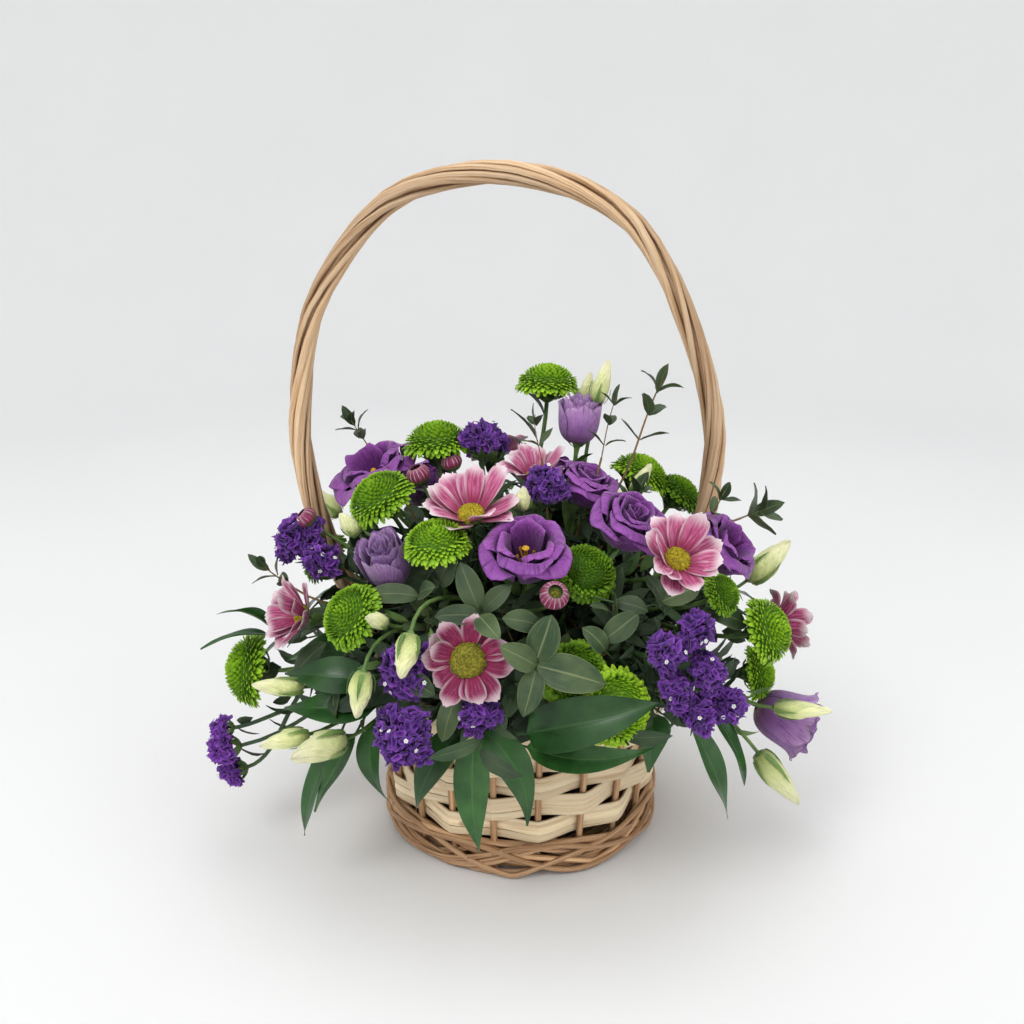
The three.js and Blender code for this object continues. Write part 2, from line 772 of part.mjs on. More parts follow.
// Ways for a stem to bow sideways round what stands before it: how far, and towards which side.
const BOWS = [[0, 0]];
for (const far of [8, 15, 24, 36, 50]) {
  for (let side = 0; side < 8; side += 1) {
    BOWS.push([far, (side / 8) * Math.PI * 2]);
  }
}

// The first of the bowed paths from a fork to a neck on which a branch stands clear of its neighbours.
function clearPath(from, neck, arrival, radius, steps, except) {
  const reach = from.distanceTo(neck);
  const straight = neck.clone().sub(from).normalize();
  const axes = crossAxes(straight);
  const pathOf = ([far, side]) => {
    const bow = around(axes, side);
    return new THREE.CubicBezierCurve3(
      from,
      offset(from, [straight, reach * 0.35], [bow, far]),
      offset(neck, [arrival, -reach * 0.3], [bow, far * 0.7]),
      neck,
    );
  };
  return BOWS.map(pathOf).find((curve) => (
    standsClear(stem(curve, radius + 2 * GAP, radius + 2 * GAP, steps, 6), except)
  ));
}

const footHoles = [];

// The main stem rises from its hole in the foam, with a fork for each branch one above another.
function mainStem(name, [bearing, out], count) {
  const foot = place(bearing, out * 0.9, FOAM_TOP - STEM_DEPTH);
  const tip = place(bearing, out * 1.02, FOAM_TOP + 8 + 4 * count);
  const direction = tip.clone().sub(foot).normalize();
  const hole = new THREE.LineCurve3(offset(foot, [direction, -GAP]), offset(foot, [direction, STEM_DEPTH + 6]));
  footHoles.push(stem(hole, HOLE_RADIUS, HOLE_RADIUS, 1, 4));
  const forks = Array.from({ length: count }, (_, k) => offset(tip, [direction, -2 - 5 * (count - 1 - k)]));
  const solid = stem(new THREE.LineCurve3(foot, tip), STEM_RADIUS, STEM_RADIUS, 1, 5);
  remember(`${name}/main`, solid);
  return { solid, forks };
}

// Turns by which a leaf swings clear of its neighbours, in degrees about its face and about its side.
const SWINGS = [[0, 0], [10, 0], [-10, 0], [0, 10], [0, -10], [20, 0], [-20, 0], [0, 20], [0, -20],
  [20, 20], [-20, 20], [20, -20], [-20, -20], [35, 0], [-35, 0], [35, 15], [-35, 15]];

// The first of a leaf's swung tips at which its blade stands clear of its neighbours.
function clearTip({ root, tip, up, halfWidths, arch, cup }) {
  const along = tip.clone().sub(root);
  const side = new THREE.Vector3().crossVectors(along, up).normalize();
  const start = offset(root, [along, 0.05]);
  const fattened = halfWidths.map((halfWidth) => halfWidth + 2 * GAP);
  const tips = SWINGS.map(([turn, lift]) => {
    const swung = along.clone().applyAxisAngle(up, THREE.MathUtils.degToRad(turn));
    return swung.applyAxisAngle(side, THREE.MathUtils.degToRad(lift)).add(root);
  });
  return tips.find((candidate) => [-2 * GAP, 2 * GAP].every((shift) => {
    const raised = [start, candidate].map((point) => offset(point, [up, shift]));
    return standsClear(blade({ root: raised[0], tip: raised[1], up, halfWidths: fattened, arch, cup }));
  }));
}

// A ruscus spray: glossy leaves, each on a stalk from the main stem.
function ruscusSpray(name, { solid, forks }, leaves) {
  const own = [`${name}/main`];
  const pieces = [solid];
  leaves.forEach(([rootPlace, tipPlace, width], k) => {
    const root = place(...rootPlace);
    const half = width / 2;
    const plan = {
      root,
      tip: place(...tipPlace),
      up: offset(heading(tipPlace[0], 35), [new THREE.Vector3(0, 0, 1), 0.2]).normalize(),
      halfWidths: [half * 0.8, half, half * 0.55],
      arch: 5,
      cup: 0.22,
    };
    const tip = clearTip(plan);
    if (!tip) {
      return;
    }
    const arrival = tip.clone().sub(root).normalize();
    const stalk = clearPath(forks[k], root, arrival, TWIG_RADIUS, BRANCH_STEPS, own);
    if (stalk) {
      pieces.push(blade({ ...plan, tip, stalk }));
    }
  });
  return fuse(pieces);
}

// A eucalyptus spray: sprigs of small oval leaves in pairs, each pair square to the one below it.
function eucalyptusSpray(name, { solid, forks }, sprigs) {
  const own = [`${name}/main`];
  const pieces = [solid];
  sprigs.forEach(([startPlace, tipPlace, pairs, length], k) => {
    const start = place(...startPlace);
    const top = place(...tipPlace);
    const axis = top.clone().sub(start).normalize();
    const path = clearPath(forks[k], start, axis, TWIG_RADIUS, BRANCH_STEPS, own);
    const twig = new THREE.LineCurve3(offset(start, [axis, -1]), offset(top, [axis, -length * 0.7]));
    const twigClear = standsClear(stem(twig, TWIG_RADIUS + GAP, TWIG_RADIUS + GAP, 1, 4));
    if (!path || !twigClear) {
      return;
    }
    pieces.push(stem(path, TWIG_RADIUS, TWIG_RADIUS, BRANCH_STEPS, 3));
    pieces.push(stem(twig, TWIG_RADIUS, TWIG_RADIUS * 0.7, 1, 3));
    const axes = crossAxes(axis);
    const plans = [{ root: offset(top, [axis, -length]), tip: top, out: axes[0] }];
    for (let j = 0; j < pairs; j += 1) {
      const root = twig.getPointAt((j + 0.6) / pairs);
      for (const turn of [0, Math.PI]) {
        const out = around(axes, (j * Math.PI) / 2 + 0.5 + turn);
        plans.push({ root, tip: offset(root, [out, length * 0.85], [axis, length * 0.5]), out });
      }
    }
    plans.forEach(({ root, tip: wanted, out }, j) => {
      const up = offset(axis, [out, j === 0 ? 0 : -0.4]).normalize();
      const plan = {
        root,
        tip: wanted,
        up: j === 0 ? out : up,
        halfWidths: length > 22 ? [length * 0.22, length * 0.2] : [length * 0.24],
        arch: 0,
        cup: 0.2,
      };
      const tip = clearTip(plan);
      if (tip) {
        pieces.push(blade({ ...plan, tip }));
      }
    });
  });
  return fuse(pieces);
}

// A spray: one main stem, and a branch to each goal of { label, neck, arrival, radius, sides, rings }.
// What no branch can reach is left out.
function headSpray(name, { solid, forks }, goals) {
  const pieces = [solid];
  goals.forEach(({ label, neck, arrival, radius, sides, rings }, k) => {
    const path = clearPath(forks[k], neck, arrival, radius, BRANCH_STEPS, [`${name}/main`, label]);
    if (path) {
      pieces.push(stem(path, radius * 0.85, radius, BRANCH_STEPS, sides, arrival, rings));
    }
  });
  return fuse(pieces);
}

// ---------------------------------------------------------------- the arrangement

const nodes = [];

function addNode(name, solid, finish) {
  nodes.push({ name, solid, finish });
  remember(name, solid);
}

addNode('basket_frame', basketFrame(), WILLOW);
addNode('basket_foot', basketFoot(), WILLOW);
for (let i = 0; i < ROW_COUNT; i += 1) {
  addNode(`basket_row_${i + 1}`, wallRow(i), WILLOW);
}
addNode('handle', handleRope(), WILLOW);
addNode('liner', linerCup(), FILM);
remember('foam', foamBlock());

// Blooms stand first, and heads keep their places while stems and leaves grow between them.
for (const [name, plan] of Object.entries(LISIANTHUS_BLOOMS)) {
  addNode(name, lisianthusBloom(plan), VIOLET);
}
for (const [name, plan] of Object.entries(DAISIES)) {
  addNode(name, daisyBloom(plan), PINK);
  addNode(name.replace('daisy', 'daisy_eye'), daisyEye(plan), DISC_YELLOW);
}

const sprays = [];

// A goal for a branch: the head that it will bear keeps its place from now on.
function headGoal(label, neck, arrival, radius, sides, rings) {
  const stub = new THREE.LineCurve3(offset(neck, [arrival, -1]), neck);
  remember(label, stem(stub, radius, radius, 1, sides, arrival, rings));
  return { label, neck, arrival, radius, sides, rings };
}

for (const [name, { foot, heads }] of Object.entries(SANTINI_SPRAYS)) {
  const goals = heads.map(([bearing, out, up, radius], k) => {
    const middle = place(bearing, out, up);
    const axis = facingOf(middle);
    const neck = offset(middle, [axis, -radius * SANTINI_NECK]);
    return headGoal(`${name}/${k}`, neck, axis, BRANCH_RADIUS, 5, santiniRings(radius));
  });
  sprays.push({ name, foot, goals, grow: headSpray, finish: LIME });
}

for (const [name, { foot, clusters }] of Object.entries(STATICE_SPRAYS)) {
  const goals = clusters.map(([bearing, out, up, radius], k) => {
    const middle = place(bearing, out, up);
    const axis = facingOf(middle);
    const neck = offset(middle, [axis, -radius * STATICE_NECK]);
    return headGoal(`${name}/${k}`, neck, axis, BRANCH_RADIUS, 5, staticeRings(radius, bearing * 31 + out));
  });
  sprays.push({ name, foot, goals, grow: headSpray, finish: STATICE_VIOLET });
}

function budGoal(label, [bearing, out, up, radius, length]) {
  const neck = place(bearing, out, up);
  return headGoal(label, neck, facingOf(neck), TWIG_RADIUS, 4, budRings(radius, length));
}

function bloomGoal(label, { at, radius, facing }, depth, cup) {
  const middle = place(...at);
  const axis = facingOf(middle, facing);
  const neck = offset(middle, [axis, -depth - GAP - cup]);
  return headGoal(label, neck, axis, BRANCH_RADIUS, 4, cupRings(radius * 0.22, cup));
}

for (const [name, { foot, blooms, buds }] of Object.entries(LISIANTHUS_STEMS)) {
  const goals = blooms.map((bloom) => {
    const plan = LISIANTHUS_BLOOMS[bloom];
    return bloomGoal(`${name}/${bloom}`, plan, plan.radius * (plan.furled ? 1.3 : 0.75), 9);
  });
  buds.forEach((plan, k) => goals.push(budGoal(`${name}/${k}`, plan)));
  sprays.push({ name, foot, goals, grow: headSpray, finish: STEM_GREEN });
}

for (const [name, { foot, blooms, buds }] of Object.entries(DAISY_STEMS)) {
  const goals = blooms.map((bloom) => bloomGoal(`${name}/${bloom}`, DAISIES[bloom], DAISY_DEPTH, 6));
  buds.forEach((plan, k) => goals.push(budGoal(`${name}/${k}`, plan)));
  sprays.push({ name, foot, goals, grow: headSpray, finish: STEM_GREEN });
}

for (const [name, { foot, leaves }] of Object.entries(RUSCUS_SPRAYS)) {
  sprays.push({ name, foot, goals: leaves, grow: ruscusSpray, finish: RUSCUS_GREEN });
}
for (const [name, { foot, sprigs }] of Object.entries(EUCALYPTUS_SPRAYS)) {
  sprays.push({ name, foot, goals: sprigs, grow: eucalyptusSpray, finish: EUCALYPTUS_GREEN });
}

// All main stems stand before anything branches, so that no branch crosses another spray's stem.
const mainStems = sprays.map(({ name, foot, goals }) => mainStem(name, foot, goals.length));
sprays.forEach(({ name, goals, grow, finish }, i) => {
  const solid = grow(name, mainStems[i], goals);
  [...grown.keys()].filter((label) => label.startsWith(`${name}/`)).forEach((label) => grown.delete(label));
  addNode(name, solid, finish);
});
addNode('foam', grown.get('foam').solid.subtract(fuse(footHoles)), FOAM);

const model = new THREE.Group();
nodes.forEach(({ name, solid, finish }) => {
  const mesh = new THREE.Mesh(geometryOf(solid), new THREE.MeshStandardMaterial(finish));
  mesh.name = name;
  model.add(mesh);
});

export default model;
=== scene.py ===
# Flower basket arrangement: the look of the willow basket, its rope handle, the blooms and the foliage.
# Lengths in the tables are millimetres. A place is [bearing, out, up]: degrees round the basket from the
# front towards the right, millimetres out from the axis and millimetres above the ground.

import math
import random

import bpy
import numpy as np
from mathutils import Matrix, Vector


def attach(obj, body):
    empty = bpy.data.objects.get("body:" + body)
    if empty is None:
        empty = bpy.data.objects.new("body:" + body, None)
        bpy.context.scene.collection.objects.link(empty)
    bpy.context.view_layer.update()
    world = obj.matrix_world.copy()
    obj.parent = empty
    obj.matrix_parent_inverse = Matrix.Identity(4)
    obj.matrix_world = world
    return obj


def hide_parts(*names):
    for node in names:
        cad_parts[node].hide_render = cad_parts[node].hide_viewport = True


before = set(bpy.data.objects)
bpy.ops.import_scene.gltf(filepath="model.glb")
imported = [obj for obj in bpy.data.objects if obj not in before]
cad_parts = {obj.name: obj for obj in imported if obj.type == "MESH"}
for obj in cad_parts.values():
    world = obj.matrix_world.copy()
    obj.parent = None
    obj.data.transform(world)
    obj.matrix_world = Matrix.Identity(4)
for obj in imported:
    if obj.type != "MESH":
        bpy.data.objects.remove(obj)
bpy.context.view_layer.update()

MM = 0.001
TURN = 2 * math.pi
SPIRAL = 2.399963  # radians from one floret to the next in a flower head
UP = Vector((0, 0, 1))

# ------------------------------------------------------------------ the arrangement's plan

WALL_LOW, WALL_HIGH, BASKET_HEIGHT = 90.5, 102.0, 120.0
STAKES, FIRST_STAKE = 20, 6.5
FOOT_HEIGHT, RIM_HEIGHT = 26.0, 25.0
ROWS, ROW_HEIGHT = 4, 17.25
FOAM_TOP = 132.0
DOME_MIDDLE = Vector((0, 0, 90 * MM))

HANDLE_LINE = [
    (-79.4, 9.2), (-84, 62), (-88.6, 117), (-127, 180), (-148, 258), (-146, 321), (-129, 378), (-82, 433),
    (-14, 449), (51, 432), (89, 395), (122, 321), (131, 258), (118, 180), (88.6, 117), (84, 62), (79.4, 9.2),
]

# at, radius, facing, habit of growth, and how light the petals are
LISIANTHUS = {
    1: ((1, 102, 235), 27, (1, 64), "cup", 0.60),
    2: ((43, 100, 244), 26, None, "rose", 0.50),
    3: ((50, 56, 258), 22, (60, 66), "rose", 0.50),
    4: ((263, 104, 252), 34, (292, 64), "cup", 0.55),
    5: ((314, 118, 220), 14.5, (330, 62), "furled", 0.60),
    6: ((90, 39, 292), 13.5, (90, 86), "furled", 0.85),
    7: ((72, 142, 216), 26, (60, 40), "cup", 0.50),
    8: ((76, 190, 90), 18.5, (78, -20), "ruffled", 0.70),
    9: ((165, 122, 220), 26, None, "rose", 0.40),
    10: ((222, 118, 224), 26, None, "cup", 0.45),
}

# foot, the blooms it bears, and its buds as (bearing, out, up, radius, length and, for some, their facing)
LISIANTHUS_STEMS = {
    "front": ((352, 30), (1, 5),
              [(0, 74, 258, 5, 18), (325, 150, 198, 5, 18), (293, 122, 232, 6, 18),
               (335, 158, 184, 7, 26, (340, -62))]),
    "top": ((75, 34), (2, 3, 6), [(92, 54, 316, 6, 30), (112, 48, 308, 5, 24), (73, 83, 256, 5, 24)]),
    "left": ((310, 48), (),
             [(326, 170, 158, 7, 28, (330, -70)), (307, 188, 149, 6, 34), (318, 184, 121, 9, 40),
              (311, 192, 120, 6, 32)]),
    "right": ((70, 62), (7, 8),
              [(91, 176, 188, 9, 40, (91, 44)), (66, 200, 116, 6, 36), (60, 192, 74, 8, 42, (72, -50))]),
    "back": ((200, 40), (4, 9, 10), [(245, 165, 212, 7, 32), (150, 170, 190, 7, 32)]),
}

# at, radius, facing, how deep the pink is, disc as a share of the radius, how far the rays are raised
DAISIES = {
    1: ((335, 76, 246), 31, (348, 66), 0.45, 0.28, 0.42),
    2: ((42, 138, 228), 28, (14, 46), 0.55, 0.29, 0.36),
    3: ((347, 142, 179), 27, (352, 20), 1.15, 0.40, 0.16),
    4: ((20, 24, 257), 23, (10, 74), 0.40, 0.26, 0.45),
    5: ((299, 160, 181), 25, (305, 22), 0.80, 0.27, 0.45),
    6: ((86, 182, 148), 25, (106, -4), 0.75, 0.28, 0.30),
    7: ((190, 102, 243), 26, None, 0.45, 0.28, 0.22),
}

# foot, the blooms it bears, and its buds as (bearing, out, up, radius, length)
DAISY_STEMS = {
    "front": ((335, 46), (1, 3, 5), [(8, 124, 210, 8.5, 13), (292, 70, 252, 8, 15), (283, 140, 226, 7, 15)]),
    "back": ((120, 28), (2, 4, 6, 7), [(287, 47, 258, 7, 13)]),
}

# foot, and heads as (bearing, out, up, radius, lightness and, for some, their facing); the lightness is painted
# light and shade, low for heads that lie in shadow and high for lit ones
SANTINI = {
    "top": ((250, 16), [(148, 35, 309, 20, 0.7, (150, 84)), (270, 57, 274, 21, 0.55, (215, 84))]),
    "left": ((318, 62), [(291, 99, 246, 21, 0.6), (331, 107, 235, 18.5, 0.70, (331, 80)),
                         (315, 147, 192, 19, 0.5, (304, 36))]),
    "far_left": ((270, 62), [(284, 189, 128, 23, 0.65), (248, 162, 170, 19, 0.5)]),
    "front": ((18, 62), [(24, 96, 214, 18, 0.2), (13, 134, 166, 19, 0.25), (21, 150, 150, 21, 1.0)]),
    "right": ((95, 46), [(108, 90, 244, 20, 0.75), (106, 118, 228, 18, 0.2)]),
    "far_right": ((78, 62), [(67, 172, 166, 20, 0.7), (76, 166, 122, 17, 0.6), (58, 148, 196, 13, 0.35)]),
    "back": ((185, 62), [(202, 140, 190, 20, 0.6), (180, 150, 165, 20, 0.5)]),
}

# foot, and clusters as (bearing, out, up, radius and, for some, lightness)
STATICE = {
    "top": ((240, 30), [(214, 42, 266, 18), (282, 30, 279, 15), (14, 58, 261, 16)]),
    "left": ((290, 46), [(281, 152, 216, 21), (291, 140, 207, 15), (287.5, 212, 77, 13, 0.75),
                         (288, 212, 93, 9, 0.85), (287, 207, 58, 11, 0.75)]),
    "front": ((342, 64), [(332, 146, 170, 20), (335, 164, 136, 22), (350, 146, 148, 15)]),
    "right": ((38, 64), [(30, 163, 186, 14), (37, 166, 196, 14), (38, 175, 170, 14), (32, 168, 161, 13),
                         (36, 174, 146, 13), (44, 176, 143, 14)]),
    "back": ((150, 62), [(160, 150, 190, 18), (150, 172, 150, 16)]),
}

# foot, and leaves as (root, tip, width and, for some, their sideways bend and then their lightness)
RUSCUS = {
    "front": ((2, 64), [
        ((1, 143, 134), (25, 179, 164), 31, 0.16, 0.30), ((1, 141, 124), (27, 170, 130), 19, 0.55, 0.75),
        ((345, 136, 130), (336, 158, 82), 22, 0.15), ((348, 138, 126), (350, 150, 56), 22, 0.10),
        ((350, 137, 132), (1, 150, 76), 22, -0.45)]),
    "left": ((303, 66), [
        ((319, 138, 122), (324, 142, 69), 17), ((310, 152, 106), (308, 178, 41), 21),
        ((315, 148, 112), (312, 176, 64), 18), ((320, 146, 152), (302, 176, 148), 24),
        ((322, 144, 136), (304, 180, 128), 24), ((300, 130, 150), (290, 166, 140), 24),
        ((286, 176, 154), (288, 220, 153), 13, -0.45), ((285, 174, 158), (288, 208, 176), 14, -0.40)]),
    "right": ((56, 64), [
        ((34, 142, 134), (29, 156, 104), 22), ((47, 146, 116), (50, 172, 54), 20),
        ((57, 150, 112), (58, 172, 66), 17), ((95, 168, 140), (97, 205, 110), 19),
        ((112, 150, 140), (112, 200, 128), 22)]),
    "back": ((170, 64), [
        ((140, 140, 130), (138, 180, 86), 22), ((165, 136, 128), (162, 160, 72), 24),
        ((190, 134, 128), (192, 166, 74), 24), ((215, 140, 132), (215, 186, 96), 22),
        ((240, 146, 136), (242, 196, 112), 22), ((262, 150, 132), (262, 200, 96), 20)]),
}

# foot, and sprigs as (start of the leafy part, tip, pairs of leaves, leaf length)
EUCALYPTUS = {
    "front": ((352, 66), [((357, 108, 176), (352, 112, 214), 2, 16), ((8, 122, 160), (12, 128, 190), 2, 20)]),
    "right": ((40, 34), [((26, 118, 172), (24, 132, 214), 3, 20), ((80, 76, 270), (92, 98, 328), 3, 21),
                         ((84, 150, 226), (84, 178, 238), 2, 24), ((60, 60, 272), (74, 66, 318), 3, 14),
                         ((30, 26, 270), (20, 22, 306), 2, 15), ((70, 128, 232), (68, 142, 262), 2, 15),
                         ((64, 76, 234), (71, 88, 262), 2, 20)]),
    "left": ((280, 34), [((328, 112, 174), (332, 124, 206), 2, 20), ((250, 118, 264), (252, 134, 292), 3, 17),
                         ((283, 156, 182), (280, 186, 206), 3, 18)]),
}

# broad single leaves in front of the mound, as (root, tip, width)
EUCALYPTUS_LEAVES = {
    "front": [
        ((348, 123, 202), (341, 114, 228), 15), ((349, 124, 202), (357, 122, 219), 12),
        ((349, 130, 202), (339, 142, 204), 13), ((349, 134, 204), (355, 154, 199), 13),
        ((3, 144, 178), (355, 154, 195), 15), ((3, 143, 176), (0, 163, 156), 15),
        ((4, 130, 197), (355, 138, 205), 14), ((3, 143, 178), (17, 160, 171), 22),
        ((3, 142, 180), (7, 136, 206), 19), ((340, 150, 158), (332, 152, 172), 13),
        ((344, 138, 156), (342, 153, 130), 14), ((352, 136, 150), (356, 150, 140), 13),
    ],
    "right": [
        ((20, 137, 187), (29, 140, 202), 15), ((20, 140, 182), (14, 141, 199), 13),
        ((40, 130, 199), (53, 138, 203), 14), ((41, 130, 196), (36, 126, 217), 13),
        ((56, 138, 184), (66, 160, 169), 18), ((26, 124, 204), (32, 140, 201), 12),
    ],
    "left": [
        ((329, 121, 205), (316, 136, 203), 14), ((329, 121, 205), (336, 126, 215), 12),
        ((334, 114, 212), (340, 112, 232), 20), ((305, 150, 166), (302, 172, 142), 17),
        ((300, 140, 180), (294, 160, 166), 15), ((310, 150, 150), (318, 168, 134), 16),
    ],
}

# quarter, twigs, and the lowest that they reach
FILLER = [("front", 48, 130), ("right", 50, 110), ("back", 42, 108), ("left", 44, 108)]

# ------------------------------------------------------------------ places and directions


def place(bearing, out, up):
    angle = math.radians(bearing)
    return Vector((math.sin(angle) * out, -math.cos(angle) * out, up)) * MM


def heading(bearing, rise):
    angle = math.radians(rise)
    return place(bearing, math.cos(angle), math.sin(angle)) / MM


def facing_of(point, facing=None):
    return heading(*facing) if facing else (point - DOME_MIDDLE).normalized()


def matrix_of(x, y, z, point):
    """The matrix whose columns are three directions and a place."""
    return Matrix((
        (x.x, y.x, z.x, point.x),
        (x.y, y.y, z.y, point.y),
        (x.z, y.z, z.z, point.z),
        (0, 0, 0, 1),
    ))


def standing(point, axis, spin=0.0):
    """The matrix that stands a piece at a point with its +Z along an axis, spun round it."""
    quarter = Vector((0, -1, 0)) if abs(axis.z) > 0.95 else UP
    side = quarter.cross(axis).normalized()
    other = axis.cross(side).normalized()
    turned = side * math.cos(spin) + other * math.sin(spin)
    return matrix_of(turned, axis.cross(turned).normalized(), axis, point)


def spoke(angle, out, up):
    """A point in a head's own frame: out from its axis at an angle, and up along it."""
    return Vector((math.cos(angle) * out, math.sin(angle) * out, up))


def points_along(point, axis, heights):
    """Points at heights in millimetres from a point along an axis."""
    return np.array([tuple(point + axis * up * MM) for up in heights])


def bezier(controls, shares):
    """Points of a cubic curve at an array of shares."""
    a, b, c, d = (np.asarray(control, float)[None, :] for control in controls)
    t = np.asarray(shares, float)[:, None]
    return a * (1 - t) ** 3 + 3 * b * t * (1 - t) ** 2 + 3 * c * t ** 2 * (1 - t) + d * t ** 3


def smooth_line(points, steps):
    """A line of steps + 1 evenly spaced points through the given ones."""
    given = np.asarray([tuple(point) for point in points], float)
    padded = np.vstack([2 * given[0] - given[1], given, 2 * given[-1] - given[-2]])
    fine = []
    for i in range(1, len(padded) - 2):
        before, a, b, after = padded[i - 1:i + 3]
        for t in np.linspace(0, 1, 12, endpoint=False):
            fine.append(0.5 * (2 * a + (b - before) * t + (2 * before - 5 * a + 4 * b - after) * t ** 2
                               + (3 * a - before - 3 * b + after) * t ** 3))
    fine.append(given[-1])
    fine = np.asarray(fine)
    lengths = np.concatenate([[0], np.cumsum(np.linalg.norm(np.diff(fine, axis=0), axis=1))])
    wanted = np.linspace(0, lengths[-1], steps + 1)
    return np.stack([np.interp(wanted, lengths, fine[:, k]) for k in range(3)], axis=1)


# ------------------------------------------------------------------ blanks and shaped parts


def only(piece):
    bpy.ops.object.select_all(action="DESELECT")
    piece.select_set(True)
    bpy.context.view_layer.objects.active = piece


class Shape:
    """Points, faces and surface coordinates of one shaped part, ready to be copied into a piece."""

    def __init__(self, points, corners, starts, surface):
        self.points = points
        self.corners = corners
        self.starts = starts
        self.surface = surface

    def moved(self, matrix):
        m = np.array(matrix)
        return Shape(self.points @ m[:3, :3].T + m[:3, 3], self.corners, self.starts, self.surface)


def read_blank(piece):
    mesh = piece.data
    points = np.zeros(len(mesh.vertices) * 3)
    mesh.vertices.foreach_get("co", points)
    corners = np.zeros(len(mesh.loops), dtype=np.int64)
    mesh.loops.foreach_get("vertex_index", corners)
    starts = np.zeros(len(mesh.polygons), dtype=np.int64)
    mesh.polygons.foreach_get("loop_start", starts)
    bpy.data.objects.remove(piece)
    bpy.data.meshes.remove(mesh)
    return points.reshape(-1, 3), corners, starts


sheet_blanks = {}
rod_blanks = {}


def sheet_blank(columns, rows):
    """A closed slab over a grid: its points are (across -1 to 1, along 0 to 1, under or over -1 or 1)."""
    if (columns, rows) not in sheet_blanks:
        bpy.ops.object.select_all(action="DESELECT")
        bpy.ops.mesh.primitive_grid_add(x_subdivisions=columns, y_subdivisions=rows, size=1)
        bpy.ops.object.mode_set(mode="EDIT")
        bpy.ops.mesh.select_all(action="SELECT")
        bpy.ops.mesh.extrude_region_move(TRANSFORM_OT_translate={"value": (0, 0, 1)})
        bpy.ops.mesh.select_all(action="SELECT")
        bpy.ops.mesh.normals_make_consistent(inside=False)
        bpy.ops.object.mode_set(mode="OBJECT")
        points, corners, starts = read_blank(bpy.context.active_object)
        grid = np.stack([points[:, 0] * 2, points[:, 1] + 0.5, points[:, 2] * 2 - 1], axis=1)
        sheet_blanks[(columns, rows)] = (grid, corners, starts)
    return sheet_blanks[(columns, rows)]


def sheet(columns, rows, form, thickness):
    """A thin closed sheet. form turns arrays of across and along into points."""
    grid, corners, starts = sheet_blank(columns, rows)
    across, along, side = grid.T
    middle = form(across, along)
    step = 0.02
    down = form(across - step, along)
    up = form(across + step, along)
    back = form(across, np.clip(along - step, 0, 1))
    ahead = form(across, np.clip(along + step, 0, 1))
    normal = np.cross(up - down, ahead - back)
    length = np.linalg.norm(normal, axis=1, keepdims=True)
    normal = normal / np.where(length > 1e-12, length, 1)
    edge = np.clip((1 - np.abs(across)) * 4, 0.35, 1) * np.clip((1 - along) * 5, 0.35, 1)
    points = middle + normal * (side * edge * thickness * 0.5)[:, None]
    surface = np.stack([(across + 1) / 2, along], axis=1)[corners]
    return Shape(points, corners, starts, surface)


def rod_blank(sides, steps):
    """A closed round bar: for each point its place round the bar, or -1 on the axis, and its step along."""
    if (sides, steps) not in rod_blanks:
        bpy.ops.object.select_all(action="DESELECT")
        bpy.ops.mesh.primitive_cylinder_add(vertices=sides, radius=1, depth=1, end_fill_type="TRIFAN")
        blank = bpy.context.active_object
        if steps > 1:
            bpy.ops.object.mode_set(mode="EDIT")
            bpy.ops.mesh.select_all(action="DESELECT")
            bpy.ops.mesh.select_mode(type="EDGE")
            bpy.ops.object.mode_set(mode="OBJECT")
            for edge in blank.data.edges:
                low, high = (blank.data.vertices[i].co.z for i in edge.vertices)
                edge.select = abs(high - low) > 0.5
            bpy.ops.object.mode_set(mode="EDIT")
            bpy.ops.mesh.subdivide(number_cuts=steps - 1)
            bpy.ops.object.mode_set(mode="OBJECT")
        points, corners, starts = read_blank(blank)
        level = np.rint((points[:, 2] + 0.5) * steps).astype(int)
        turn = np.rint(np.arctan2(points[:, 1], points[:, 0]) / TURN * sides).astype(int) % sides
        turn[np.hypot(points[:, 0], points[:, 1]) < 0.5] = -1
        rod_blanks[(sides, steps)] = (turn, level, corners, starts)
    return rod_blanks[(sides, steps)]


def rod(line, section, outward=None):
    """A closed bar along a line of points. section is an array (stations, sides, 2) of offsets along the
    outward direction and square to it; outward may be given for each station."""
    line = np.asarray(line, float)
    stations, sides = section.shape[0], section.shape[1]
    turn, level, corners, starts = rod_blank(sides, stations - 1)
    tangent = np.gradient(line, axis=0)
    tangent /= np.linalg.norm(tangent, axis=1, keepdims=True)
    if outward is None:
        reference = np.array([0.0, 0.0, 1.0]) if abs(tangent[0][2]) < 0.9 else np.array([1.0, 0.0, 0.0])
        first = np.zeros_like(line)
        for i in range(stations):
            reference = reference - tangent[i] * reference.dot(tangent[i])
            reference /= np.linalg.norm(reference)
            first[i] = reference
    else:
        first = np.asarray(outward, float)
        first = first - tangent * np.sum(first * tangent, axis=1, keepdims=True)
        first /= np.linalg.norm(first, axis=1, keepdims=True)
    second = np.cross(tangent, first)
    points = line[level]
    rim = turn >= 0
    offsets = section[level[rim], turn[rim]]
    points[rim] += first[level[rim]] * offsets[:, :1] + second[level[rim]] * offsets[:, 1:]
    gone = np.concatenate([[0], np.cumsum(np.linalg.norm(np.diff(line, axis=0), axis=1))])
    around = np.where(turn >= 0, turn / sides, 0.5)[corners]
    faces = np.repeat(np.arange(len(starts)), np.diff(np.append(starts, len(corners))))
    low = np.full(len(starts), 9.0)
    high = np.full(len(starts), -9.0)
    np.minimum.at(low, faces, around)
    np.maximum.at(high, faces, around)
    around = np.where((high[faces] - low[faces] > 0.5) & (around < 0.5), around + 1, around)
    surface = np.stack([around, gone[level][corners]], axis=1)
    return Shape(points, corners, starts, surface)


def round_section(radii, sides):
    angles = np.arange(sides) / sides * TURN
    circle = np.stack([np.cos(angles), np.sin(angles)], axis=1)
    return np.asarray(radii, float)[:, None, None] * circle[None, :, :]


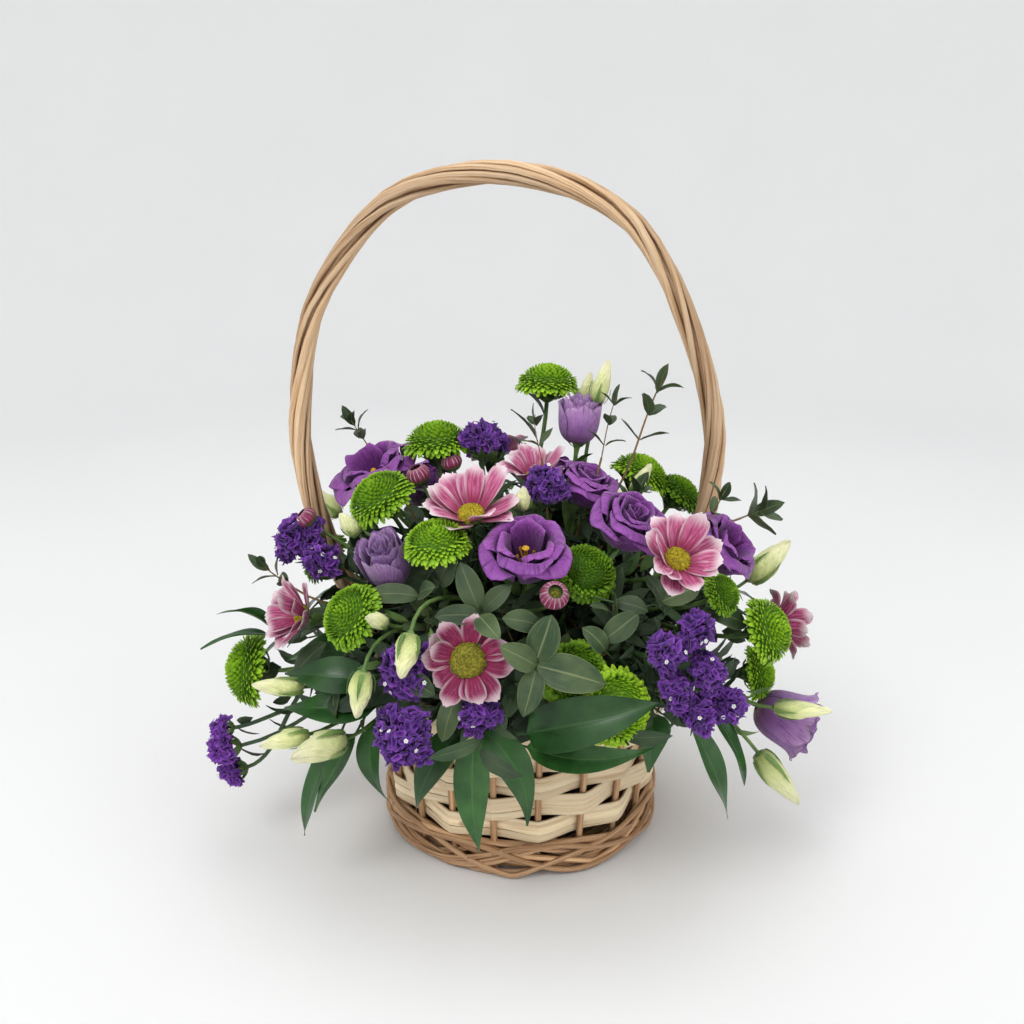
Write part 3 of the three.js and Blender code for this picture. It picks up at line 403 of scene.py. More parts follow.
def flat_section(half_width, half_thickness, stations, sides=8):
    """A flat split with rounded edges: its thickness lies along the outward direction."""
    angles = (np.arange(sides) + 0.5) / sides * TURN
    thick = np.sign(np.cos(angles)) * np.abs(np.cos(angles)) ** 0.55 * half_thickness
    wide = np.sign(np.sin(angles)) * np.abs(np.sin(angles)) ** 0.55 * half_width
    return np.repeat(np.stack([thick, wide], axis=1)[None, :, :], stations, axis=0)


def twig(points, start_radius, end_radius, steps, sides):
    line = smooth_line(points, steps)
    return rod(line, round_section(np.linspace(start_radius, end_radius, steps + 1) * MM, sides))


def turned_body(stand, levels, sides):
    """A closed body turned round a head's axis through (height, radius) levels in millimetres."""
    line = np.array([tuple(stand @ (Vector((0, 0, up)) * MM)) for up, _ in levels])
    return rod(line, round_section([radius * MM for _, radius in levels], sides))


def assemble(name, parts, nodes=(), smooth=60):
    """One piece from (shape, finish, tone) parts: copies the shapes, keeps their surface coordinates and
    gives each its tone, then lets the piece ride on the basket and stand for its nodes."""
    finishes = []
    points, corners, starts, surface, tones, indices = [], [], [], [], [], []
    base, corner_base = 0, 0
    for shape, finish, tone in parts:
        if finish not in finishes:
            finishes.append(finish)
        points.append(shape.points)
        corners.append(shape.corners + base)
        starts.append(shape.starts + corner_base)
        surface.append(shape.surface)
        tones.append(np.full(len(shape.points), tone))
        indices.append(np.full(len(shape.starts), finishes.index(finish)))
        base += len(shape.points)
        corner_base += len(shape.corners)
    mesh = bpy.data.meshes.new(name)
    mesh.vertices.add(base)
    mesh.vertices.foreach_set("co", np.concatenate(points).ravel())
    mesh.loops.add(corner_base)
    mesh.loops.foreach_set("vertex_index", np.concatenate(corners))
    starts = np.concatenate(starts)
    mesh.polygons.add(len(starts))
    mesh.polygons.foreach_set("loop_start", starts)
    mesh.polygons.foreach_set("material_index", np.concatenate(indices))
    mesh.polygons.foreach_set("use_smooth", np.ones(len(starts), dtype=bool))
    mesh.uv_layers.new(name="surface").data.foreach_set("uv", np.concatenate(surface).ravel())
    mesh.attributes.new("tone", "FLOAT", "POINT").data.foreach_set("value", np.concatenate(tones))
    mesh.update(calc_edges=True)
    mesh.validate()
    for finish in finishes:
        mesh.materials.append(finish)
    piece = bpy.data.objects.new(name, mesh)
    bpy.context.scene.collection.objects.link(piece)
    only(piece)
    bpy.ops.object.mode_set(mode="EDIT")
    bpy.ops.mesh.select_all(action="SELECT")
    bpy.ops.mesh.normals_make_consistent(inside=False)
    bpy.ops.object.mode_set(mode="OBJECT")
    bpy.ops.object.shade_smooth_by_angle(angle=math.radians(smooth))
    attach(piece, "root")
    if nodes:
        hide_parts(*nodes)
    return piece


# ------------------------------------------------------------------ finishes


class Finish:
    """A material built up from nodes."""

    def __init__(self, name, roughness, **sockets):
        self.material = bpy.data.materials.new(name)
        self.material.use_nodes = True
        self.tree = self.material.node_tree
        self.shader = self.tree.nodes["Principled BSDF"]
        self.shader.inputs["Roughness"].default_value = roughness
        for socket, value in sockets.items():
            label = socket.replace("_", " ").title().replace("Ior", "IOR")
            self.shader.inputs[label].default_value = value

    def add(self, kind, settings=None, **inputs):
        node = self.tree.nodes.new(kind)
        for key, value in (settings or {}).items():
            setattr(node, key, value)
        for key, value in inputs.items():
            socket = node.inputs[int(key[1:])] if key[0] == "i" and key[1:].isdigit() else node.inputs[key]
            self.set(socket, value)
        return node

    def set(self, socket, value):
        if isinstance(value, bpy.types.NodeSocket):
            self.tree.links.new(value, socket)
        else:
            socket.default_value = value

    def math(self, operation, a, b=0.0):
        return self.add("ShaderNodeMath", {"operation": operation}, i0=a, i1=b).outputs[0]

    def plus(self, a, b):
        return self.math("ADD", a, b)

    def minus(self, a, b):
        return self.math("SUBTRACT", a, b)

    def times(self, a, b):
        return self.math("MULTIPLY", a, b)

    def surface(self):
        """Across, along and tone of the part that a point lies on."""
        uv = self.add("ShaderNodeUVMap", {"uv_map": "surface"}).outputs[0]
        split = self.add("ShaderNodeSeparateXYZ", None, i0=uv)
        tone = self.add("ShaderNodeAttribute", {"attribute_name": "tone"}).outputs["Fac"]
        return split.outputs[0], split.outputs[1], tone

    def vector(self, x, y, z=0.0):
        return self.add("ShaderNodeCombineXYZ", None, i0=x, i1=y, i2=z).outputs[0]

    def place(self):
        return self.add("ShaderNodeTexCoord").outputs["Object"]

    def noise(self, vector, scale, detail=3.0, roughness=0.55):
        inputs = {"Vector": vector, "Scale": scale, "Detail": detail, "Roughness": roughness}
        return self.add("ShaderNodeTexNoise", None, **inputs).outputs["Fac"]

    def ramp(self, share, *stops):
        node = self.add("ShaderNodeValToRGB", None, Fac=share)
        elements = node.color_ramp.elements
        while len(elements) < len(stops):
            elements.new(1.0)
        for element, (position, colour) in zip(elements, stops):
            element.position = position
            element.color = (*colour, 1)
        return node.outputs[0]

    def step(self, share, low, high):
        smooth = {"interpolation_type": "SMOOTHSTEP"}
        return self.add("ShaderNodeMapRange", smooth, i0=share, i1=low, i2=high).outputs[0]

    def mix(self, share, a, b, blend="MIX"):
        node = self.add("ShaderNodeMix", {"data_type": "RGBA", "blend_type": blend})
        for socket, value in zip((node.inputs[0], node.inputs[6], node.inputs[7]), (share, a, b)):
            if isinstance(value, tuple):
                value = (*value, 1)
            self.set(socket, value)
        return node.outputs[2]

    def colour(self, socket):
        self.set(self.shader.inputs["Base Color"], socket)

    def bump(self, height, strength, distance):
        node = self.add("ShaderNodeBump", None, Strength=strength, Distance=distance, Height=height)
        self.set(self.shader.inputs["Normal"], node.outputs[0])


def willow_finish(name, pale, honey, brown, groove_shade_start, groove_shade_end):
    """Peeled willow: long streaks along each rod, fine grain, a few small knots and painted shade on the inward
    face of each rod.
    """
    finish = Finish(name, 0.5, specular_ior_level=0.35)
    across, along, tone = finish.surface()
    shift = finish.times(tone, 37.0)
    long_way = finish.vector(finish.times(across, 5.0), finish.times(along, 9.0), shift)
    streaks = finish.noise(long_way, 2.0, 4.0, 0.6)
    grain_way = finish.vector(finish.times(across, 26.0), finish.times(along, 30.0), shift)
    grain = finish.noise(grain_way, 2.2, 3.0, 0.6)
    body = finish.ramp(streaks, (0.3, brown), (0.46, honey), (0.66, pale))
    lines = finish.step(grain, 0.58, 0.72)
    body = finish.mix(finish.times(lines, 0.45), body, brown)
    rod_lights = (0.0, (0.72, 0.66, 0.6)), (0.5, (1.0, 0.98, 0.95)), (1.0, (1.25, 1.22, 1.15))
    body = finish.mix(1.0, body, finish.ramp(tone, *rod_lights), "MULTIPLY")
    turned = finish.math("FRACT", across)
    from_face = finish.math("MINIMUM", turned, finish.minus(1.0, turned))
    # Painted shade: the inward face of each rod or split, where it lies against its neighbours and the core, is
    # mixed towards dark brown.
    groove = finish.step(from_face, groove_shade_start, groove_shade_end)
    body = finish.mix(finish.times(groove, 0.7), body, (0.22, 0.10, 0.04))
    cells = {"Scale": 30.0, "Randomness": 1.0, "Vector": finish.place()}
    from_knot = finish.add("ShaderNodeTexVoronoi", {"feature": "F1"}, **cells).outputs["Distance"]
    knot = finish.minus(1.0, finish.step(from_knot, 0.05, 0.11))
    body = finish.mix(finish.times(knot, 0.6), body, (0.16, 0.07, 0.03))
    finish.colour(body)
    finish.bump(finish.plus(grain, finish.times(streaks, 0.8)), 0.35, 0.0008)
    return finish.material


def petal_finish(name, stops, vein, vein_share, light=(1.5, 1.45, 1.3), roughness=0.6):
    """Soft petals: colour runs from the base to the edge, with fine veins that fan out along the petal."""
    finish = Finish(name, roughness, specular_ior_level=0.25, sheen_weight=0.25)
    across, along, tone = finish.surface()
    fan = finish.math("DIVIDE", finish.minus(across, 0.5), finish.plus(along, 0.35))
    shift = finish.times(tone, 29.0)
    long_way = finish.vector(finish.times(fan, 15.0), finish.times(along, 1.4), shift)
    veins = finish.noise(long_way, 2.0, 3.0, 0.6)
    blotch = finish.noise(finish.place(), 160.0, 2.0)
    crinkle = finish.noise(finish.place(), 420.0, 3.0)
    body = finish.ramp(along, *stops)
    body = finish.mix(finish.times(finish.step(veins, 0.5, 0.72), vein_share), body, vein)
    body = finish.mix(finish.times(finish.step(blotch, 0.35, 0.8), 0.25), body, vein)
    shade = finish.ramp(tone, (0.0, (0.62, 0.6, 0.66)), (0.5, (1, 1, 1)), (1.0, light))
    finish.colour(finish.mix(1.0, body, shade, "MULTIPLY"))
    finish.bump(finish.plus(veins, finish.times(crinkle, 0.9)), 0.9, 0.0012)
    return finish.material


def daisy_finish(name, edge_light, tip_light):
    """Pink rays: magenta stripes along the middle, pale edges and nearly white tips."""
    finish = Finish(name, 0.55, specular_ior_level=0.3, sheen_weight=0.1)
    across, along, tone = finish.surface()
    shift = finish.times(tone, 31.0)
    drift = finish.noise(finish.vector(finish.times(across, 3.0), along, shift), 2.0, 2.0, 0.5)
    wave = finish.math("SINE", finish.plus(finish.times(across, 30.0), finish.times(drift, 16.0)))
    stripes = finish.plus(finish.times(wave, 0.5), 0.5)
    long_way = finish.vector(finish.times(across, 34.0), finish.times(along, 2.5), shift)
    fine = finish.noise(long_way, 2.0, 2.0, 0.5)
    off_middle = finish.times(finish.math("ABSOLUTE", finish.minus(across, 0.5)), 2.0)
    edge = finish.step(finish.plus(off_middle, finish.times(fine, 0.15)), 0.76, 1.06)
    tip = finish.step(finish.plus(along, finish.times(fine, 0.22)), 0.76, 1.10)
    pale = finish.math("MAXIMUM", finish.times(edge, edge_light), finish.times(tip, tip_light))
    depth = finish.plus(finish.times(stripes, 0.32), finish.times(tone, 0.62))
    depth = finish.plus(depth, finish.times(finish.minus(fine, 0.5), 0.5))
    pinks = (0.10, (0.80, 0.38, 0.53)), (0.40, (0.62, 0.13, 0.30)), (0.88, (0.20, 0.010, 0.06))
    body = finish.ramp(depth, *pinks)
    paleness = finish.minus(1.15, finish.times(tone, 0.45))
    body = finish.mix(finish.times(pale, paleness), body, (0.93, 0.82, 0.85))
    throat = finish.minus(1.0, finish.step(along, 0.15, 0.50))
    body = finish.mix(finish.times(throat, 0.75), body, (0.30, 0.012, 0.08))
    finish.colour(body)
    finish.bump(finish.plus(fine, finish.times(stripes, 0.6)), 0.4, 0.0006)
    return finish.material


def tipped_finish(name, base, body_colour, tip, roughness, scale=220.0, sheen=0.0):
    """Small florets that are dark at the base, as painted shade down between them, and light at the tip, as
    painted highlight.
    """
    finish = Finish(name, roughness, specular_ior_level=0.3, sheen_weight=sheen)
    _, along, tone = finish.surface()
    speck = finish.noise(finish.place(), scale, 2.0)
    share = finish.plus(along, finish.times(finish.minus(speck, 0.5), 0.35))
    body = finish.ramp(share, (0.05, base), (0.5, body_colour), (1.0, tip))
    shade = finish.ramp(tone, (0.0, (0.42, 0.5, 0.5)), (0.5, (0.85, 0.9, 0.9)), (1.0, (1.4, 1.3, 1.3)))
    finish.colour(finish.mix(1.0, body, shade, "MULTIPLY"))
    finish.bump(speck, 0.2, 0.0004)
    return finish.material


def leaf_finish(name, dark, light, rib, roughness, ribs, coat=0.0, rib_share=0.5, margin=0.0):
    """A leaf: fine parallel veins, a paler midrib and an uneven green."""
    finish = Finish(name, roughness, specular_ior_level=0.35, coat_weight=coat, coat_roughness=0.25)
    across, along, tone = finish.surface()
    patches = finish.noise(finish.place(), 45.0, 3.0)
    off_middle = finish.math("ABSOLUTE", finish.minus(across, 0.5))
    shift = finish.times(tone, 17.0)
    long_way = finish.vector(finish.times(across, ribs), finish.times(along, 1.5), shift)
    veins = finish.noise(long_way, 2.0, 2.0)
    body = finish.mix(finish.step(patches, 0.3, 0.75), dark, light)
    body = finish.mix(finish.times(finish.step(veins, 0.45, 0.7), 0.35), body, light)
    middle = finish.minus(1.0, finish.step(off_middle, 0.012, 0.045))
    body = finish.mix(finish.times(middle, rib_share), body, rib)
    rim = finish.step(off_middle, 0.455, 0.5)
    body = finish.mix(finish.times(rim, margin), body, rib)
    shade = finish.ramp(tone, (0.0, (0.35, 0.4, 0.4)), (0.5, (0.9, 0.95, 0.9)), (1.0, (1.6, 1.55, 1.4)))
    finish.colour(finish.mix(1.0, body, shade, "MULTIPLY"))
    height = finish.minus(finish.times(veins, 0.5), middle)
    finish.bump(height, 0.3, 0.0006)
    return finish.material


def stem_finish(name, dark, light):
    finish = Finish(name, 0.5, specular_ior_level=0.4)
    across, along, tone = finish.surface()
    long_way = finish.vector(finish.times(across, 12.0), finish.times(along, 30.0), tone)
    lines = finish.noise(long_way, 2.0, 3.0)
    patches = finish.noise(finish.place(), 70.0, 2.0)
    body = finish.mix(finish.step(patches, 0.3, 0.7), dark, light)
    body = finish.mix(finish.times(finish.step(lines, 0.45, 0.75), 0.4), body, dark)
    finish.colour(body)
    finish.bump(lines, 0.3, 0.0005)
    return finish.material


def speckled_finish(name, dark, light, roughness, scale, bump=0.5, distance=0.001):
    """A matte body with fine speckles, such as foam, a floret disc or crumpled film."""
    finish = Finish(name, roughness, specular_ior_level=0.4)
    speck = finish.noise(finish.place(), scale, 4.0, 0.65)
    finish.colour(finish.mix(finish.step(speck, 0.35, 0.68), dark, light))
    finish.bump(speck, bump, distance)
    return finish.material


WILLOW = willow_finish(
    "willow_splits", (0.96, 0.83, 0.60), (0.91, 0.75, 0.51), (0.72, 0.50, 0.29), 0.24, 0.36)
WILLOW_RODS = willow_finish(
    "willow_rods", (0.74, 0.50, 0.30), (0.56, 0.335, 0.18), (0.28, 0.135, 0.06), 0.24, 0.42)
HANDLE_WILLOW = willow_finish(
    "handle_willow", (0.75, 0.575, 0.40), (0.61, 0.41, 0.24), (0.33, 0.165, 0.07), 0.24, 0.34)
FILM = speckled_finish("liner_film", (0.006, 0.006, 0.008), (0.02, 0.02, 0.024), 0.32, 60.0, 0.6, 0.002)
FOAM = speckled_finish("floral_foam", (0.01, 0.04, 0.015), (0.03, 0.10, 0.03), 0.95, 500.0)
# In the violet and lavender stops, the dark band near the petal's base is painted shade deep in the cup, and the
# lighter band just inside the rim is a painted highlight.
VIOLET = petal_finish("lisianthus_violet", (
    (0.0, (0.08, 0.05, 0.03)), (0.12, (0.045, 0.006, 0.055)), (0.5, (0.155, 0.026, 0.215)),
    (0.88, (0.27, 0.062, 0.35)), (0.97, (0.34, 0.10, 0.43)), (1.0, (0.22, 0.04, 0.30)),
), (0.06, 0.005, 0.085), 0.75)
LAVENDER = petal_finish("lisianthus_lavender", (
    (0.0, (0.20, 0.16, 0.12)), (0.15, (0.10, 0.03, 0.12)), (0.5, (0.22, 0.10, 0.32)),
    (0.85, (0.38, 0.21, 0.50)), (0.97, (0.50, 0.34, 0.62)), (1.0, (0.30, 0.14, 0.42)),
), (0.11, 0.025, 0.19), 0.7)
DAISY = daisy_finish("daisy_petal", 0.6, 1.0)
DAISY_BUD = daisy_finish("daisy_bud_petal", 1.0, 0.2)
DISC = speckled_finish("daisy_disc", (0.20, 0.17, 0.008), (0.60, 0.50, 0.02), 0.8, 700.0)
DISC_OLIVE = speckled_finish("daisy_disc_olive", (0.10, 0.095, 0.008), (0.34, 0.31, 0.02), 0.8, 700.0)
POMPON = tipped_finish("santini_green", (0.055, 0.145, 0.005), (0.18, 0.385, 0.011), (0.37, 0.62, 0.03), 0.6)
STATICE_FLORET = tipped_finish(
    "statice_violet", (0.03, 0.005, 0.08), (0.105, 0.017, 0.24), (0.24, 0.075, 0.44), 0.75, 900.0, 0.15)
WHITE_FLORET = tipped_finish("statice_white", (0.5, 0.5, 0.4), (0.8, 0.78, 0.75), (0.9, 0.88, 0.86), 0.5)
BUD = petal_finish("lisianthus_bud", (
    (0.0, (0.33, 0.43, 0.11)), (0.3, (0.73, 0.79, 0.33)), (0.7, (0.94, 0.94, 0.54)), (1.0, (0.96, 0.92, 0.64)),
), (0.46, 0.54, 0.17), 0.6, (1.15, 1.15, 1.1), 0.45)
STAMEN = speckled_finish("stamen_yellow", (0.55, 0.26, 0.01), (0.80, 0.50, 0.03), 0.6, 900.0)
STEM = stem_finish("stem_green", (0.06, 0.13, 0.03), (0.17, 0.28, 0.07))
DARK_STEM = stem_finish("stem_dark", (0.02, 0.05, 0.02), (0.06, 0.12, 0.04))
BROWN_STEM = stem_finish("stem_brown", (0.13, 0.075, 0.025), (0.32, 0.21, 0.08))
SEPAL = leaf_finish("sepal_green", (0.08, 0.16, 0.04), (0.20, 0.32, 0.09), (0.25, 0.36, 0.12), 0.5, 9.0)
RUSCUS_LEAF = leaf_finish(
    "ruscus_leaf", (0.010, 0.048, 0.010), (0.036, 0.115, 0.026), (0.07, 0.18, 0.05), 0.3, 26.0, 0.10, 0.35)
EUCALYPTUS_LEAF = leaf_finish(
    "eucalyptus_leaf", (0.020, 0.046, 0.018), (0.080, 0.118, 0.050), (0.22, 0.25, 0.12), 0.5, 7.0, 0.0, 0.5, 0.35)
FILLER_LEAF = leaf_finish(
    "filler_leaf", (0.028, 0.056, 0.026), (0.073, 0.118, 0.054), (0.11, 0.16, 0.08), 0.6, 7.0)

# ------------------------------------------------------------------ basket


def wall_radius(up):
    return WALL_LOW + (WALL_HIGH - WALL_LOW) * up / BASKET_HEIGHT


def border_rods(parts, finish, rods, rod_radius, outset, half_depth, half_height, turns, seed, flat=None):
    """Rods laid up round each other along the rim, each a closed bar whose ends are tucked under the next."""
    chance = random.Random(seed)
    stations = max(90, int(abs(turns) * 14)) + 1
    middle = BASKET_HEIGHT - RIM_HEIGHT / 2
    for k in range(rods):
        start = chance.uniform(0, 360)
        bearings = start + np.linspace(0, 366, stations)
        phase = np.radians(bearings) * turns + k / rods * TURN
        wander = 0.35 * np.sin(np.radians(bearings) * 3 + chance.uniform(0, 6))
        tuck = 1 - 0.5 * np.clip(np.abs(np.linspace(-1, 1, stations)) * 30 - 29, 0, 1)
        out = wall_radius(middle) + outset + (half_depth * np.cos(phase)) * tuck + wander
        height = middle + half_height * np.sin(phase)
        angles = np.radians(bearings)
        line = np.stack([np.sin(angles) * out, -np.cos(angles) * out, height], axis=1) * MM
        depthwise = np.cos(phase) / half_depth
        outward = np.stack([np.sin(angles) * depthwise, -np.cos(angles) * depthwise, np.sin(phase) / half_height],
                           axis=1)
        size = rod_radius * chance.uniform(0.88, 1.1) * MM
        if flat:
            section = flat_section(size * flat, size * 0.62, stations)
        else:
            section = round_section(np.full(stations, size), 7)
        parts.append((rod(line, section, outward), finish, chance.random()))


def basket():
    """The rolled border, the stakes, the woven base, the foot and the rows of splits."""
    border = []
    border_rods(border, WILLOW, 7, 3.7, 2, 4.4, 9.6, 7, 3, flat=1.35)
    border_rods(border, WILLOW_RODS, 4, 2.4, 1, 2.2, 6.0, -5, 4)
    foot = foot_rods(wall_radius(FOOT_HEIGHT / 2) + 4.7)
    chance = random.Random(11)
    stakes = []
    for i in range(STAKES):
        bearing = FIRST_STAKE + i * 360 / STAKES
        lean = chance.uniform(-0.6, 0.6)
        line = []
        for share in (0, 0.33, 0.66, 1):
            up = 3 + 104.5 * share
            line.append(place(bearing + lean * share, wall_radius(up), up))
        stakes.append((twig(line, 2.3, 2.1, 8, 8), WILLOW_RODS, chance.random()))
    base = []
    spokes, rings, stations = 5, 14, 81
    for i in range(spokes):
        reach = spoke(i * math.pi / spokes + 0.1, 86, 0) * MM
        lift = Vector((0, 0, 4 * MM))
        base.append((twig([lift - reach, lift, lift + reach], 3.2, 3.0, 8, 8), WILLOW_RODS, 0.3))
    for i in range(rings):
        out = 12 + i * 5.75
        angles = np.linspace(0, TURN * 1.01, stations) + i
        wave = np.cos(angles * 5 + (i % 2) * math.pi) * 1.2
        line = np.stack([np.sin(angles) * out, -np.cos(angles) * out, 4.2 + wave], axis=1) * MM
        section = round_section(np.full(stations, 2.75 * MM), 6)
        base.append((rod(line, section), WILLOW_RODS, chance.random()))
    assemble("basket_border", border, ["basket_frame"])
    assemble("basket_stakes", stakes, ["basket_frame"])
    assemble("basket_base", base, ["basket_frame"])
    assemble("basket_foot_rods", foot, ["basket_foot"])
    for row in range(ROWS):
        basket_row(row)


def foot_rods(radius):
    """The foot border: thin rods at shallow slopes that cross in layers and loop round low on the ground."""
    chance = random.Random(5)
    stations = 241
    parts = []
    for k in range(13):
        layer = (k % 4) - 1.5
        size = chance.uniform(1.55, 2.05)
        turns = chance.choice((2, 3, 3, 4))
        phase = chance.uniform(0, TURN)
        bearings = np.radians(np.linspace(0, 364, stations) + chance.uniform(0, 360))
        if k % 3 == 0:
            swing = np.abs(np.sin(bearings * turns / 2 + phase))
        else:
            swing = 0.5 + 0.5 * np.sin(bearings * turns + phase)
        wander = 0.06 * np.sin(bearings * 7 + phase)
        height = size + 0.3 + (FOOT_HEIGHT - 2 * size - 1.0) * np.clip(swing + wander, 0, 1)
        out = radius + layer * 1.9 - 0.6 * np.clip(height / FOOT_HEIGHT, 0, 1)
        out = out + 0.25 * np.sin(bearings * 11 + phase)
        line = np.stack([np.sin(bearings) * out, -np.cos(bearings) * out, height], axis=1) * MM
        outward = np.stack([np.sin(bearings), -np.cos(bearings), np.zeros(stations)], axis=1)
        section = round_section(np.full(stations, size * MM), 8)
        parts.append((rod(line, section, outward), WILLOW_RODS, chance.random()))
    return parts


def basket_row(row):
    """Three flat splits lying one over another, outside and inside the stakes in turn."""
    chance = random.Random(20 + row)
    parts = []
    splits, stride = 3, 5
    stations = (STAKES + 1) * stride + 1
    height = ROW_HEIGHT / splits
    for split in range(splits):
        up = FOOT_HEIGHT + row * ROW_HEIGHT + (split + 0.5) * height
        start = chance.randrange(STAKES)
        line, outward = [], []
        for j in range(stations):
            station = start + j / stride
            low = math.floor(station)
            share = station - low
            bend = min(max((share - 0.5) * 1.25 + 0.5, 0), 1)
            sides = [1 if (k + row) % 2 == 0 else -1 for k in (low, low + 1)]
            swing = sides[0] + (sides[1] - sides[0]) * bend
            bearing = math.radians(FIRST_STAKE + station * 360 / STAKES)
            chord = 1 - (1 - math.cos(math.pi / STAKES)) * 4 * share * (1 - share) * 0.9
            out = wall_radius(up) * chord + swing * 3.6 + 0.12 * math.sin(j * 0.7 + split)
            rise = up + 0.45 * math.sin(bearing * 2 + chance.random() * 0.2 + split * 2)
            line.append((math.sin(bearing) * out * MM, -math.cos(bearing) * out * MM, rise * MM))
            outward.append((math.sin(bearing), -math.cos(bearing), 0))
        half = height * 0.5 * chance.uniform(0.93, 1.03)
        section = flat_section(half * MM, 1.15 * MM, stations)
        parts.append((rod(line, section, outward), WILLOW, chance.random()))
    assemble(f"basket_splits_{row + 1}", parts, [f"basket_row_{row + 1}"], smooth=28)


def handle():
    """Willow rods laid up slowly round each other along the arch."""
    chance = random.Random(31)
    rods, steps = 7, 150
    middle = smooth_line([(x * MM, 0, z * MM) for x, z in HANDLE_LINE], steps)
    tangent = np.gradient(middle, axis=0)
    tangent /= np.linalg.norm(tangent, axis=1, keepdims=True)
    sideways = np.array([0.0, 1.0, 0.0])
    outward = np.cross(sideways[None, :], tangent)
    shares = np.linspace(0, 1, steps + 1)
    parts = []
    for k in range(rods):
        phase = shares * 3.6 * TURN + k / rods * TURN + 0.22 * np.sin(shares * 19 + k * 2)
        reach = 5.6 * MM * (1 + 0.06 * np.sin(shares * 23 + k * 1.7))
        direction = outward * np.cos(phase)[:, None] + sideways[None, :] * np.sin(phase)[:, None]
        line = middle + direction * reach[:, None]
        size = chance.choice((2.05, 2.25, 2.5)) * (1 + 0.08 * np.sin(shares * 9 + k * 2.3))
        parts.append((rod(line, round_section(size * MM, 10), direction), HANDLE_WILLOW, chance.random()))
    core = round_section(np.full(steps + 1, 3.9 * MM), 9)
    parts.append((rod(middle, core, outward), HANDLE_WILLOW, 0.1))
    assemble("handle_rods", parts, ["handle"])


def liner():
    """Black film pushed into the basket, crumpled and folded over unevenly at its top edge."""
    chance = random.Random(41)
    waves = [(chance.randrange(5, 24), chance.uniform(0, TURN), chance.uniform(0.2, 0.6)) for _ in range(9)]
    sides, levels = 120, 13

    def crumple(angle, share):
        return sum(size * math.sin(count * angle + start + share * 2.5) for count, start, size in waves)

    section = np.zeros((levels * 2, sides, 2))
    line = np.zeros((levels * 2, 3))
    for i in range(levels * 2):
        inner = i >= levels
        share = (i if not inner else 2 * levels - 1 - i) / (levels - 1)
        up = 9 + share * 116
        line[i] = (0, 0, (up + (0.6 if inner and share < 1 else 0)) * MM)
        for k in range(sides):
            angle = k / sides * TURN
            radius = 72 + 9.5 * share + crumple(angle, share) * 0.45 * share - (0.8 if inner else 0)
            section[i, k] = (radius * MM * math.cos(angle), radius * MM * math.sin(angle))
    turn, level, corners, starts = rod_blank(sides, levels * 2 - 1)
    points = line[level]
    rim = turn >= 0
    points[rim, 0] += section[level[rim], turn[rim], 0]
    points[rim, 1] += section[level[rim], turn[rim], 1]
    top = (level == levels - 1) | (level == levels)
    fold = 2.2 * MM * np.sin(np.where(rim, turn, 0) * 0.9 + np.sin(turn * 0.23) * 3)
    points[:, 2] += np.where(top & rim, fold, 0)
    surface = np.stack([turn[corners] / sides, level[corners] / levels], axis=1)
    film = Shape(points, corners, starts, surface)
    assemble("liner_crumpled", [(film, FILM, 0.5)], ["liner"])


# ------------------------------------------------------------------ blooms

# for each whorl: petals, half the angle that one spans, its curve from base to rim, and how ruffled it is
WHORLS = {
    "cup": [
        (3, 1.30, [(0.08, -0.75), (1.02, -0.74), (0.52, 0.50), (1.06, -0.10)], 0.07),
        (3, 1.25, [(0.06, -0.70), (0.88, -0.66), (0.36, 0.66), (0.92, 0.08)], 0.06),
        (3, 1.10, [(0.05, -0.66), (0.66, -0.58), (0.30, 0.62), (0.66, 0.26)], 0.05),
    ],
    "rose": [
        (3, 1.35, [(0.08, -0.75), (1.02, -0.74), (0.56, 0.42), (1.06, -0.12)], 0.06),
        (3, 1.35, [(0.06, -0.70), (0.90, -0.66), (0.40, 0.58), (0.90, 0.06)], 0.05),
        (3, 1.40, [(0.05, -0.66), (0.70, -0.56), (0.30, 0.62), (0.68, 0.20)], 0.04),
        (3, 1.50, [(0.04, -0.60), (0.50, -0.50), (0.22, 0.52), (0.46, 0.30)], 0.03),
        (2, 1.90, [(0.03, -0.50), (0.30, -0.40), (0.12, 0.42), (0.24, 0.34)], 0.02),
        (2, 1.90, [(0.02, -0.40), (0.14, -0.30), (0.05, 0.30), (0.09, 0.30)], 0.01),
    ],
    "furled": [
        (4, 1.05, [(0.20, -1.28), (1.28, -1.16), (0.92, 0.30), (1.10, 0.84)], 0.10),
        (3, 1.35, [(0.16, -1.25), (1.05, -1.08), (0.66, 0.50), (0.86, 1.00)], 0.11),
        (3, 1.45, [(0.10, -1.10), (0.72, -0.90), (0.38, 0.60), (0.62, 1.04)], 0.10),
        (2, 1.80, [(0.05, -1.00), (0.36, -0.80), (0.16, 0.50), (0.36, 1.02)], 0.07),
        (2, 1.90, [(0.03, -0.80), (0.18, -0.60), (0.06, 0.50), (0.14, 0.98)], 0.04),
    ],
    "ruffled": [
        (4, 1.20, [(0.20, -1.25), (1.28, -1.10), (0.74, 0.45), (1.36, 0.58)], 0.10),
        (4, 1.20, [(0.14, -1.20), (0.98, -1.00), (0.46, 0.55), (1.04, 0.82)], 0.09),
        (3, 1.45, [(0.08, -1.10), (0.64, -0.90), (0.26, 0.50), (0.58, 0.92)], 0.06),
    ],
}


